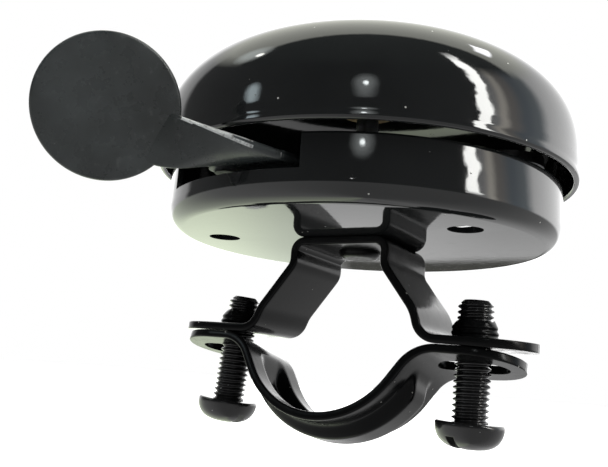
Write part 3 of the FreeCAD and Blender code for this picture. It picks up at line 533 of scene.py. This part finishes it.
def strip(name, left, right, half_width, end_radius, press):
    """A bent strip with rounded edges and round ends. Both paths start at its middle, and the
    left one is written as if it ran to the right. press(share, across) is how far the sheet is
    pushed out at a share of the way from the middle to its tip."""
    full = [(-x, z, -heading) for x, z, heading in reversed(left[1:])] + right
    lengths = [0.0]
    for (x0, z0, _), (x1, z1, _) in zip(full, full[1:]):
        lengths.append(lengths[-1] + math.hypot(x1 - x0, z1 - z0))
    total = lengths[-1]
    middle_length = lengths[len(left) - 1]
    edge = SHEET * 0.22
    bm = bmesh.new()
    rows = []
    for (x, z, heading), length in zip(full, lengths):
        from_end = min(length, total - length)
        reach = half_width
        if from_end < end_radius:
            inset = end_radius - max(from_end, 0.02 * MM)
            reach = half_width * math.sqrt(max(1 - (inset / end_radius) ** 2, 1e-4))
        if length > middle_length:
            share = (length - middle_length) / (total - middle_length)
        else:
            share = 1 - length / middle_length
        normal = Vector((-math.sin(heading), 0, math.cos(heading)))
        middle = Vector((x, 0, z))
        row = []
        for across, lift in strip_section(reach, edge):
            pushed = press(share, across)
            row.append(middle + Vector((0, across, 0)) + normal * (lift - pushed))
        rows.append(row)
    skin(bm, rows, ends=True)
    return object_from(bm, name, 50)


def strip_section(reach, edge):
    """A flat section with rounded edges: (across, lift) points around it."""
    half = SHEET / 2
    edge = min(edge, reach * 0.9)
    columns = 40
    flat = [(-reach + edge) + 2 * (reach - edge) * i / columns for i in range(columns + 1)]
    points = [(y, half) for y in flat]
    points += arc((reach - edge, half - edge), edge, 90, 0, 4)[1:]
    points += arc((reach - edge, -half + edge), edge, 0, -90, 4)
    points += [(y, -half) for y in reversed(flat)][1:]
    points += arc((-reach + edge, -half + edge), edge, -90, -180, 4)[1:]
    points += arc((-reach + edge, half - edge), edge, 180, 90, 4)[:-1]
    return points


def with_flange(path, tip, end_radius):
    """The path with a straight flange to its tip, closely spaced where the end is round."""
    x, z, heading = path[-1]
    length = (tip - x) / math.cos(heading)
    straight_steps = 24
    round_steps = 22
    stops = [(length - end_radius) * i / straight_steps for i in range(1, straight_steps + 1)]
    for i in range(1, round_steps + 1):
        stops.append(length - end_radius * (1 - math.sin(math.pi / 2 * i / round_steps)))
    return path + [(x + d * math.cos(heading), z + d * math.sin(heading), heading) for d in stops]


def trace_to(start, steps, straight, level):
    """The traced path whose straight step, given by its index, is as long as it takes to end
    at a level."""
    path = trace(start, steps)
    heading = sum(math.radians(step[1]) for step in steps[:straight] if len(step) == 2)
    missing = (level - path[-1][1]) / math.sin(heading)
    steps = steps[:straight] + [(steps[straight][0] + missing,)] + steps[straight + 1:]
    return trace(start, steps)


# The object leans to its left: the left flange is longer than the right one.
LEFT_SCREW_X = -21.1 * MM
RIGHT_SCREW_X = 18.5 * MM
FLANGE_REACH = 8.8 * MM


def build_upper_bracket():
    """Bent strip under the cup with a threaded collar drawn up out of each flange."""
    half = SHEET / 2
    plate = PLATE_TOP - half
    leg = 8.0 * MM - half
    bend = 1.6 * MM
    foot = 2.9 * MM
    left_level = FLANGE_TOP - half
    right_level = left_level - 0.5 * MM
    left_slope, right_slope = 1.0, -1.5
    left_splay, left_steep = 38.0, 67.0
    right_splay, right_steep = 37.0, 75.0
    left = trace_to((0, plate), [
        (leg - bend,), (bend, -90), (1.0 * MM,), (2.4 * MM, left_splay), (4.6 * MM,),
        (5.0 * MM, 90 - left_splay - left_steep), (0.8 * MM,), (foot, left_steep + left_slope),
    ], 4, left_level)
    right = trace_to((0, plate), [
        (leg - bend,), (bend, -90), (1.4 * MM,), (2.4 * MM, right_splay), (4.6 * MM,),
        (6.0 * MM, 90 - right_splay - right_steep), (0.6 * MM,), (foot, right_steep + right_slope),
    ], 4, right_level)
    left = with_flange(left, FLANGE_REACH - LEFT_SCREW_X, STRIP_HALF_WIDTH)
    right = with_flange(right, FLANGE_REACH + RIGHT_SCREW_X, STRIP_HALF_WIDTH)
    pieces = [strip("bracket_strip", left, right, STRIP_HALF_WIDTH, STRIP_HALF_WIDTH,
                    lambda share, across: 0.0)]
    pieces.append(collar(LEFT_SCREW_X, left_level + half, 0.10))
    pieces.append(collar(RIGHT_SCREW_X, right_level + half, 0.03))
    merged = merge(pieces, "bracket_strip")
    merged.data.set_sharp_from_angle(angle=math.radians(50))
    finish_piece(merged, clamp_enamel, "base", "upper_bracket")


def collar(x, base, lean):
    """The drawn collar round a screw: a flared foot, a tapering wall with the rings that the tap
    pushed out, a chamfer and a ragged top."""
    height = 2.5 * MM
    bore = SCREW_RADIUS + 0.05 * MM
    profile = [(bore, -0.4), (3.5 * MM, -0.2), (3.5 * MM, 0.0), (3.36 * MM, 0.08)]
    rings = 24
    for i in range(rings + 1):
        share = 0.14 + 0.64 * i / rings
        ring = 0.07 * MM * math.cos(2 * math.pi * share * height / SCREW_PITCH)
        profile.append((3.3 * MM - 0.28 * MM * share + ring, share))
    profile += [(2.9 * MM, 0.86), (2.72 * MM, 0.97), (2.62 * MM, 1.0), (bore, 0.97), (bore, -0.4)]
    bm = bmesh.new()
    rows = []
    for radius, share in profile:
        row = []
        for i in range(FINE):
            angle = 2 * math.pi * i / FINE
            ragged = 0.0
            if share > 0.5:
                ragged = 0.10 * math.sin(3 * angle + 0.6) + 0.06 * math.sin(7 * angle)
            wobble = 0.0
            if share > 0.1 and radius > bore:
                wobble = 0.05 * MM * math.sin(5 * angle + 4 * share)
            lift = height * (share + ragged * max(share - 0.5, 0))
            row.append(Vector((
                x + lean * lift + (radius + wobble) * math.cos(angle),
                (radius + wobble) * math.sin(angle),
                base + lift,
            )))
        rows.append(row)
    skin(bm, rows)
    return object_from(bm, "collar", 50)


# The strap hangs loosely on its screws: its far edge and its right end are lower.
STRAP_PLACE = Vector((-1.75, 0, -1.88)) * MM
STRAP_PITCH = math.radians(-11.5)
STRAP_ROLL = math.radians(1.0)


def build_lower_strap():
    """Curved band with a bead pressed outward along its middle and a slot in each flange."""
    half = SHEET / 2
    hug = BAR_RADIUS + 1.5 * MM + half
    bottom = -BAR_RADIUS + 0.2 * MM - half
    flange = -0.70 * MM
    band = 57.0
    bend = 5.6 * MM
    tip = 27.5 * MM
    bent = trace_to((0, bottom), [(hug, band), (MM,), (bend, -band)], 1, flange)
    bent_length = sum(math.hypot(b[0] - a[0], b[1] - a[1]) for a, b in zip(bent, bent[1:]))
    path = with_flange(bent, tip, STRIP_HALF_WIDTH)
    bead_length = bent_length - 0.8 * bend * math.radians(band)
    bead_share = bead_length / (bent_length + tip - bent[-1][0])
    depth = 1.7 * MM

    def press(share, across):
        along = smooth((bead_share - share) / (bead_share * 0.25))
        beside = smooth((3.9 * MM - abs(across)) / (1.9 * MM))
        return depth * along * beside

    piece = strip("strap_strip", path, path, STRIP_HALF_WIDTH, STRIP_HALF_WIDTH, press)
    cutters = []
    reach = 2.0 * MM
    side_width = 3.0 * MM
    spacing = 20.4 * MM
    for side in (-1, 1):
        x = side * spacing
        outline = arc((x + reach, 0), side_width, -90, 90, 16)
        outline += arc((x - reach, 0), side_width, 90, 270, 16)
        cutters.append(prism("slot", outline, flange - 3 * MM, flange + 3 * MM))
    carve(piece, cutters)
    piece.data.set_sharp_from_angle(angle=math.radians(50))
    soften(piece, 0.18 * MM, 60, 2)
    lean = Matrix.Rotation(STRAP_ROLL, 4, "Y") @ Matrix.Rotation(STRAP_PITCH, 4, "X")
    piece.data.transform(Matrix.Translation(STRAP_PLACE) @ lean)
    finish_piece(piece, clamp_enamel, "strap", "lower_strap")


def smooth(value):
    """0 below 0, 1 above 1 and an even S between."""
    value = min(max(value, 0.0), 1.0)
    return value * value * (3 - 2 * value)


# ------------------------------------------------------------------ clamp screws

SCREW_PITCH = 0.8 * MM
THREAD_DEPTH = 0.42 * MM


def thread_radius(angle, height, tip):
    """The radius of a right-hand M5 thread: flat crests, rounded roots, chamfered at the tip."""
    phase = (height / SCREW_PITCH - angle / (2 * math.pi)) % 1.0
    slope = abs(phase - 0.5) * 2
    radius = SCREW_RADIUS - THREAD_DEPTH * smooth((slope - 0.12) / 0.74)
    return min(radius, SCREW_RADIUS - 0.75 * MM + (tip - height))


def build_screw(name, node, body, x, lean, slot_turn):
    """Slotted pan head screw, head down, with a real helical thread. It leans about the point
    where it passes the flange."""
    low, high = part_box(node)
    tip = high.z + 0.6 * MM
    under = low.z + HEAD_HEIGHT - 0.3 * MM
    around = 48
    per_turn = 12
    start = under - 0.1 * MM
    count = int(round((tip - start) / SCREW_PITCH * per_turn))
    bm = bmesh.new()
    rows = []
    for i in range(count + 1):
        height = start + (tip - start) * i / count
        row = []
        for j in range(around):
            angle = 2 * math.pi * j / around
            radius = thread_radius(angle, height, tip)
            row.append(Vector((x + radius * math.cos(angle), radius * math.sin(angle), height)))
        rows.append(row)
    skin(bm, rows, ends=True)
    shank = object_from(bm, name + "_shank", 70)

    edge = 0.35 * MM
    profile = [(0, under), (HEAD_RADIUS - edge, under)]
    profile += arc((HEAD_RADIUS - edge, under - edge), edge, 90, 0, 5)
    for i in range(1, 15):
        angle = math.pi / 2 * i / 14
        across = HEAD_RADIUS * math.cos(angle) ** 0.62
        down = (HEAD_HEIGHT + 0.1 * MM - edge) * math.sin(angle) ** 0.95
        profile.append((across if i < 14 else 0.0, under - edge - down))
    bm = bmesh.new()
    lathe(bm, profile, FINE, (x, 0))
    head = object_from(bm, name + "_head", 60)
    wide = HEAD_RADIUS + MM
    slot_half = 0.65 * MM
    corners = [(-wide, -slot_half), (wide, -slot_half), (wide, slot_half), (-wide, slot_half)]
    turned = []
    for a, b in corners:
        turned.append((
            x + a * math.cos(slot_turn) - b * math.sin(slot_turn),
            a * math.sin(slot_turn) + b * math.cos(slot_turn),
        ))
    slot = prism("slot", turned, low.z - MM, low.z + 1.25 * MM)
    carve(head, [slot])
    soften(head, 0.22 * MM, 40, 3)
    screw = merge([shank, head], name)
    screw.data.set_sharp_from_angle(angle=math.radians(60))
    foot = Vector((x, 0, 0))
    turn = Matrix.Rotation(math.radians(lean), 4, "Y")
    screw.data.transform(Matrix.Translation(foot) @ turn @ Matrix.Translation(-foot))
    finish_piece(screw, screw_finish, body, node)


# ------------------------------------------------------------------ thumb lever

def build_lever():
    """The lever: the flat toothed plate inside, the twisted neck and the round pad."""
    source = frame["nodes"]["thumb_lever"]
    neck_near = Vector((3.0, -29.5, 19.8)) * MM
    neck_far = Vector((-6.0, -28.8, 19.8)) * MM
    bm = bmesh.new()
    bm.from_mesh(source.data)
    outward = Vector((neck_near.y - neck_far.y, neck_far.x - neck_near.x, 0)).normalized()
    bmesh.ops.bisect_plane(
        bm, geom=bm.verts[:] + bm.edges[:] + bm.faces[:], plane_co=(neck_near + neck_far) / 2,
        plane_no=outward, clear_outer=True, dist=1e-7)
    bmesh.ops.holes_fill(bm, edges=bm.edges)
    plate = object_from(bm, "plate", 30)

    def rim(angle, radius):
        angle = math.radians(angle)
        return pad_centre + (pad_across * math.cos(angle) + pad_upward * math.sin(angle)) * radius

    # The neck: a ribbon whose near and far edges run from the plate to the pad's rim.
    inside_rim = PAD_RADIUS - 1.4 * MM
    near_end = rim(7.0, inside_rim)
    far_end = rim(-49.0, inside_rim)
    sag = Vector((0, 0, -0.8 * MM))
    rows = []
    steps = 28
    edge = LEVER_SHEET * 0.32
    overlap = 14 * MM                     # how fast the ribbon's start runs back into the plate
    for i in range(-3, steps + 1):
        share = i / steps
        outside = max(share, 0.0)
        eased = smooth(outside)
        near = neck_near.lerp(near_end, share)
        far = neck_far.lerp(far_end, share) + sag * math.sin(math.pi * outside ** 1.6)
        if share < 0:
            near = neck_near + outward * share * overlap
            far = neck_far + outward * share * overlap
        across = (far - near).normalized()
        face = Vector((0, 0, 1)).lerp(-pad_facing, eased)
        face = (face - across * face.dot(across)).normalized()
        inside_pad = smooth((share - 0.55) / 0.3)
        rows.append(ribbon_section(near, far, face, edge, LEVER_SHEET * (1 - 0.05 * inside_pad)))
    bm = bmesh.new()
    skin(bm, rows, ends=True)
    neck = object_from(bm, "neck", 60)

    bm = bmesh.new()
    half = LEVER_SHEET / 2
    rounding = 0.42 * MM
    profile = [(0, half)]
    for i in range(1, 8):
        profile.append(((PAD_RADIUS - rounding) * i / 8, half))
    profile += arc((PAD_RADIUS - rounding, half - rounding), rounding, 90, 0, 6)
    profile += arc((PAD_RADIUS - rounding, rounding - half), rounding, 0, -90, 6)
    for i in range(7, 0, -1):
        profile.append(((PAD_RADIUS - rounding) * i / 8, -half))
    profile.append((0, -half))
    lathe(bm, profile, SEGMENTS)
    turn = Matrix((pad_across, pad_upward, pad_facing)).transposed().to_4x4()
    bmesh.ops.transform(bm, matrix=Matrix.Translation(pad_centre) @ turn, verts=bm.verts)
    pad = object_from(bm, "pad", 60)
    lever = merge([plate, neck, pad], "thumb_lever_plate")
    lever.data.set_sharp_from_angle(angle=math.radians(50))
    finish_piece(lever, pad_enamel, "lever", "thumb_lever")
    # Painted highlight: pale steel on the rounded faces of the neck's near edge.
    paint_edge_highlight(lever, neck_near.lerp(near_end, 0.25), near_end)


def paint_edge_highlight(piece, start, end):
    """A painted highlight along one straight edge of the piece, laid as paint rubbed off: the small
    faces that round the edge show pale steel, up to where it meets the pad."""
    reach = 0.62 * MM
    small_face = 0.2 * MM * MM
    piece.data.materials.append(rubbed_steel)
    along = (end - start).normalized()
    length = (end - start).length - 1.5 * MM
    for polygon in piece.data.polygons:
        offset = polygon.center - start
        travelled = offset.dot(along)
        away = (offset - along * travelled).length
        if away < reach and 0 < travelled < length and polygon.area < small_face:
            polygon.material_index = 1


def ribbon_section(near, far, face, edge, thickness):
    """A rounded flat section from the near edge to the far edge."""
    half = thickness / 2
    width = (far - near).length
    across = (far - near).normalized()
    flat = [edge + (width - 2 * edge) * i / 12 for i in range(13)]
    points = [(y, half) for y in flat]
    points += arc((width - edge, half - edge), edge, 90, 0, 4)[1:]
    points += arc((width - edge, edge - half), edge, 0, -90, 4)
    points += [(y, -half) for y in reversed(flat)][1:]
    points += arc((edge, edge - half), edge, -90, -180, 4)[1:]
    points += arc((edge, half - edge), edge, 180, 90, 4)[:-1]
    return [near + across * y + face * lift for y, lift in points]


# ------------------------------------------------------------------ inner works

def finish_and_shade_inner_works():
    """The CAD pieces that stay as they are get their finish; zinc and brass are darkened as painted
    shade for the inside of the bell. The foot of the post was painted together with the bracket."""
    # Painted shade: the post's zinc is darkened above the bracket; below it, the post is black paint.
    post_finish = metal("post_finish", SHADED_ZINC_COLOUR, 0.34, EVEN, 0.5)
    paint_below(post_finish, PLATE_TOP)
    finishes_and_shade = {
        "centre_post": post_finish, "dome_bush": shaded_brass, "strike_lugs": shaded_zinc, "rotor_pinion": shaded_brass,
        "rotor_thrust_washer": shaded_zinc, "rotor_clip": spring_steel, "striker_arm": shaded_zinc,
        "striker_pins": shaded_zinc, "striker_washer_a": shaded_zinc, "striker_washer_b": shaded_zinc,
        "idler_wheel": shaded_zinc, "idler_pinion": shaded_brass, "idler_pin": shaded_zinc, "idler_clip": spring_steel,
        "lever_pivot_pin": shaded_zinc, "lever_spacer": shaded_zinc, "lever_washer": shaded_zinc,
        "spring_anchor_post": shaded_zinc, "lever_stop_post": shaded_zinc, "return_spring": spring_steel,
    }
    for node, material in finishes_and_shade.items():
        piece = frame["nodes"][node]
        piece.data.materials.clear()
        piece.data.materials.append(material)


# ------------------------------------------------------------------ studio

CAMERA_PLACE = Vector((50.052, -103.402, -6.208)) * MM
CAMERA_BACK = Vector((0.495, -0.849, -0.185))
CAMERA_RIGHT = Vector((0.868, 0.49, 0.073))
FOCAL_SHARE = 1.23355                 # focal length over the picture's width
SENSOR_WIDTH = 36                     # in millimetres, as the lens is


def build_camera():
    """The photograph's viewing angle: below the bell, close, and rolled a little."""
    data = bpy.data.cameras.new("camera")
    data.sensor_width = SENSOR_WIDTH
    data.lens = SENSOR_WIDTH * FOCAL_SHARE
    data.clip_start = 0.005
    data.clip_end = 10
    camera = bpy.data.objects.new("camera", data)
    bpy.context.scene.collection.objects.link(camera)
    back = CAMERA_BACK.normalized()
    right = (CAMERA_RIGHT - back * CAMERA_RIGHT.dot(back)).normalized()
    up = back.cross(right)
    facing = Matrix((right, up, back)).transposed().to_4x4()
    camera.matrix_world = Matrix.Translation(CAMERA_PLACE) @ facing
    bpy.context.scene.camera = camera


def ramp(nodes, links, value, stops):
    """A colour ramp over (position, grey or colour) stops."""
    node = nodes.new("ShaderNodeValToRGB")
    node.color_ramp.interpolation = "EASE"
    elements = node.color_ramp.elements
    while len(elements) < len(stops):
        elements.new(0.5)
    for element, (position, colour) in zip(elements, stops):
        element.position = position
        element.color = (*colour, 1) if isinstance(colour, tuple) else (colour, colour, colour, 1)
    links.new(value, node.inputs[0])
    return node.outputs[0]


# What the gloss mirrors besides the plain room: bearing (0.5 is behind the camera, 0.75 the
# picture's right, 0 and 1 the backdrop), elevation, half width and half height in degrees, colour.
STUDIO_PATCHES = {
    "tall window": (0.658, 32, 4.0, 24, (15.0, 15.0, 14.6)),
    "high streak": (0.822, 58, 11.0, 2.5, (8.0, 8.0, 8.2)),
    "dark table edge": (0.972, -6.2, 10.0, 2.3, (0.10, 0.10, 0.09)),
}

# Round lights and their glows: bearing, elevation, radius in degrees, colour.
STUDIO_LAMPS = {
    "left lamp glow": (0.235, 51, 9.0, (2.8, 3.0, 2.9)),
    "left lamp": (0.257, 51, 2.2, (16.0, 16.0, 15.0)),
    "far window": (0.315, 23, 5.0, (3.4, 4.0, 4.2)),
    "flash glow": (0.484, 26.4, 7.0, (1.6, 1.7, 1.7)),
    "camera flash": (0.484, 26.4, 1.7, (17.0, 18.0, 18.0)),
    "low lamp": (0.472, 11.1, 1.0, (20.0, 20.0, 20.0)),
}


def apart(nodes, links, value, centre):
    """How far a value is from a centre, either way."""
    return calculate(nodes, links, "ABSOLUTE", calculate(nodes, links, "SUBTRACT", value, centre), 0)


def build_world():
    """White studio seen by the camera. The gloss black parts mirror a room: dark behind the camera
    and overhead, with a bright window at the right, and a pale backdrop behind and below."""
    world = bpy.data.worlds.new("studio")
    bpy.context.scene.world = world
    world.use_nodes = True
    nodes = world.node_tree.nodes
    links = world.node_tree.links
    nodes.clear()
    direction = nodes.new("ShaderNodeTexCoord").outputs["Generated"]
    turned = nodes.new("ShaderNodeVectorRotate")
    turned.rotation_type = "Z_AXIS"
    # Turned so that -Y points at the camera and +X to the picture's right.
    turned.inputs["Angle"].default_value = -math.atan2(CAMERA_RIGHT.y, CAMERA_RIGHT.x)
    links.new(direction, turned.inputs["Vector"])
    split = nodes.new("ShaderNodeSeparateXYZ")
    links.new(turned.outputs[0], split.inputs[0])
    x, y, z = split.outputs
    bearing = calculate(nodes, links, "ARCTAN2", x, calculate(nodes, links, "MULTIPLY", y, -1))
    bearing = calculate(nodes, links, "ADD", bearing, math.pi)
    bearing = calculate(nodes, links, "DIVIDE", bearing, 2 * math.pi)
    elevation = calculate(nodes, links, "ARCSINE", z, 0)
    elevation = calculate(nodes, links, "MULTIPLY", elevation, 180 / math.pi)

    room = ramp(nodes, links, bearing, [
        (0.00, 1.0), (0.07, 0.85), (0.115, 0.50), (0.155, 0.42), (0.175, 0.05), (0.45, 0.02),
        (0.64, 0.03), (0.675, 0.5), (0.69, (1.0, 0.95, 0.85)), (0.705, (0.34, 0.32, 0.30)),
        (0.735, (0.20, 0.23, 0.26)), (0.76, (0.24, 0.27, 0.29)), (0.79, 0.85), (0.88, 0.72),
        (0.95, 0.9), (1.0, 1.0),
    ])
    below = ramp(nodes, links, bearing, [
        (0.00, (0.34, 0.37, 0.31)), (0.025, (0.50, 0.55, 0.43)), (0.10, (0.42, 0.45, 0.38)),
        (0.25, 0.26), (0.50, 0.14), (0.65, 0.14), (0.80, 0.20), (0.92, 0.30), (0.955, 0.24),
        (0.99, 0.30),
    ])
    overhead = remap(nodes, links, elevation, 40, 48, 0.0, 1.0)
    beyond = remap(nodes, links, y, -0.02, 0.04, 0.0, 1.0)
    dimmer = remap(nodes, links, elevation, 5, 45, 1.0, 0.55)
    lower_band = remap(nodes, links, elevation, -5, 0, 1.0, 0.0)
    faded = mix_colour(nodes, links, dimmer, (0.0, 0.0, 0.0), room)
    sheet = mix_colour(nodes, links, beyond, (0.020, 0.022, 0.021), (0.46, 0.465, 0.42))
    colour = mix_colour(nodes, links, overhead, faded, sheet)
    colour = mix_colour(nodes, links, lower_band, colour, below)
    brighter = nodes.new("ShaderNodeVectorMath")
    brighter.operation = "SCALE"
    brighter.inputs["Scale"].default_value = 3.2
    links.new(colour, brighter.inputs[0])
    colour = brighter.outputs[0]

    ripple = noise(nodes, links, turned.outputs[0], 7.0, 2.0)
    ripple = remap(nodes, links, ripple, 0.3, 0.7, -0.006, 0.006)
    wavy = calculate(nodes, links, "ADD", bearing, ripple)
    for centre, height, half_width, half_height, light in STUDIO_PATCHES.values():
        beside = apart(nodes, links, wavy, centre)
        above = apart(nodes, links, elevation, height)
        within = half_width / 360
        across = remap(nodes, links, beside, within * 0.8, within * 1.25, 1.0, 0.0)
        upward = remap(nodes, links, above, half_height * 0.8, half_height * 1.25, 1.0, 0.0)
        covered = calculate(nodes, links, "MULTIPLY", across, upward)
        colour = mix_colour(nodes, links, covered, colour, light)
    for centre, height, radius, light in STUDIO_LAMPS.values():
        degrees = 360 * math.cos(math.radians(height))
        across = calculate(nodes, links, "MULTIPLY", apart(nodes, links, bearing, centre), degrees)
        upward = apart(nodes, links, elevation, height)
        across_squared = calculate(nodes, links, "POWER", across, 2)
        upward_squared = calculate(nodes, links, "POWER", upward, 2)
        squares = calculate(nodes, links, "ADD", across_squared, upward_squared)
        distance = calculate(nodes, links, "SQRT", squares, 0)
        covered = remap(nodes, links, distance, radius * 0.4, radius, 1.0, 0.0)
        colour = mix_colour(nodes, links, covered, colour, light)

    mirrored = nodes.new("ShaderNodeBackground")
    links.new(colour, mirrored.inputs["Color"])
    seen = nodes.new("ShaderNodeBackground")
    seen.inputs["Color"].default_value = (1, 1, 1, 1)
    mix = nodes.new("ShaderNodeMixShader")
    links.new(nodes.new("ShaderNodeLightPath").outputs["Is Camera Ray"], mix.inputs[0])
    links.new(mirrored.outputs[0], mix.inputs[1])
    links.new(seen.outputs[0], mix.inputs[2])
    links.new(mix.outputs[0], nodes.new("ShaderNodeOutputWorld").inputs[0])


def build_floor():
    """A plain pale floor below the clamp. Reflections look past it into the studio."""
    bm = bmesh.new()
    size = 3.0
    level = cad_low.z - 30 * MM
    corners = [(-size, -size), (size, -size), (size, size), (-size, size)]
    bm.faces.new([bm.verts.new((x, y, level)) for x, y in corners])
    floor = object_from(bm, "floor")
    material = bpy.data.materials.new("floor")
    material.use_nodes = True
    nodes = material.node_tree.nodes
    links = material.node_tree.links
    nodes.clear()
    grain = nodes.new("ShaderNodeTexNoise")
    grain.inputs["Scale"].default_value = 60
    pale = nodes.new("ShaderNodeMapRange")
    pale.inputs["To Min"].default_value = 0.94
    pale.inputs["To Max"].default_value = 1.0
    links.new(grain.outputs["Fac"], pale.inputs["Value"])
    surface = nodes.new("ShaderNodeBsdfDiffuse")
    links.new(pale.outputs[0], surface.inputs["Color"])
    glow = nodes.new("ShaderNodeEmission")
    glow.inputs["Strength"].default_value = 0.75
    lit = nodes.new("ShaderNodeAddShader")
    links.new(surface.outputs[0], lit.inputs[0])
    links.new(glow.outputs[0], lit.inputs[1])
    clear = nodes.new("ShaderNodeBsdfTransparent")
    path = nodes.new("ShaderNodeLightPath")
    facing = nodes.new("ShaderNodeNewGeometry")
    front = calculate(nodes, links, "SUBTRACT", 1.0, facing.outputs["Backfacing"])
    shown = calculate(nodes, links, "MULTIPLY", path.outputs["Is Camera Ray"], front)
    mix = nodes.new("ShaderNodeMixShader")
    links.new(shown, mix.inputs[0])
    links.new(clear.outputs[0], mix.inputs[1])
    links.new(lit.outputs[0], mix.inputs[2])
    links.new(mix.outputs[0], nodes.new("ShaderNodeOutputMaterial").inputs[0])
    floor.data.materials.append(material)


def build_lights():
    """One soft lamp overhead for the dull surfaces. The gloss mirrors the room only."""
    data = bpy.data.lights.new("overhead", "AREA")
    data.size = 0.4
    data.energy = 2.0
    lamp = bpy.data.objects.new("overhead", data)
    place = Vector((-0.05, -0.20, 0.45))
    lamp.location = place
    lamp.rotation_mode = "QUATERNION"
    lamp.rotation_quaternion = (-place).to_track_quat("-Z", "Y")
    lamp.visible_glossy = False
    bpy.context.scene.collection.objects.link(lamp)


build_dome()
build_cup()
build_upper_bracket()
build_lower_strap()
SLOT_TURN = math.atan2(CAMERA_BACK.y, CAMERA_BACK.x)
build_screw("screw_left", "clamp_screw_left", "screw_left", LEFT_SCREW_X, 6.0, SLOT_TURN + 0.75)
build_screw("screw_right", "clamp_screw_right", "screw_right", RIGHT_SCREW_X, 1.7, SLOT_TURN - 0.85)
build_lever()
finish_and_shade_inner_works()
build_world()
build_floor()
build_lights()
build_camera()
bpy.context.scene.view_settings.view_transform = "Standard"
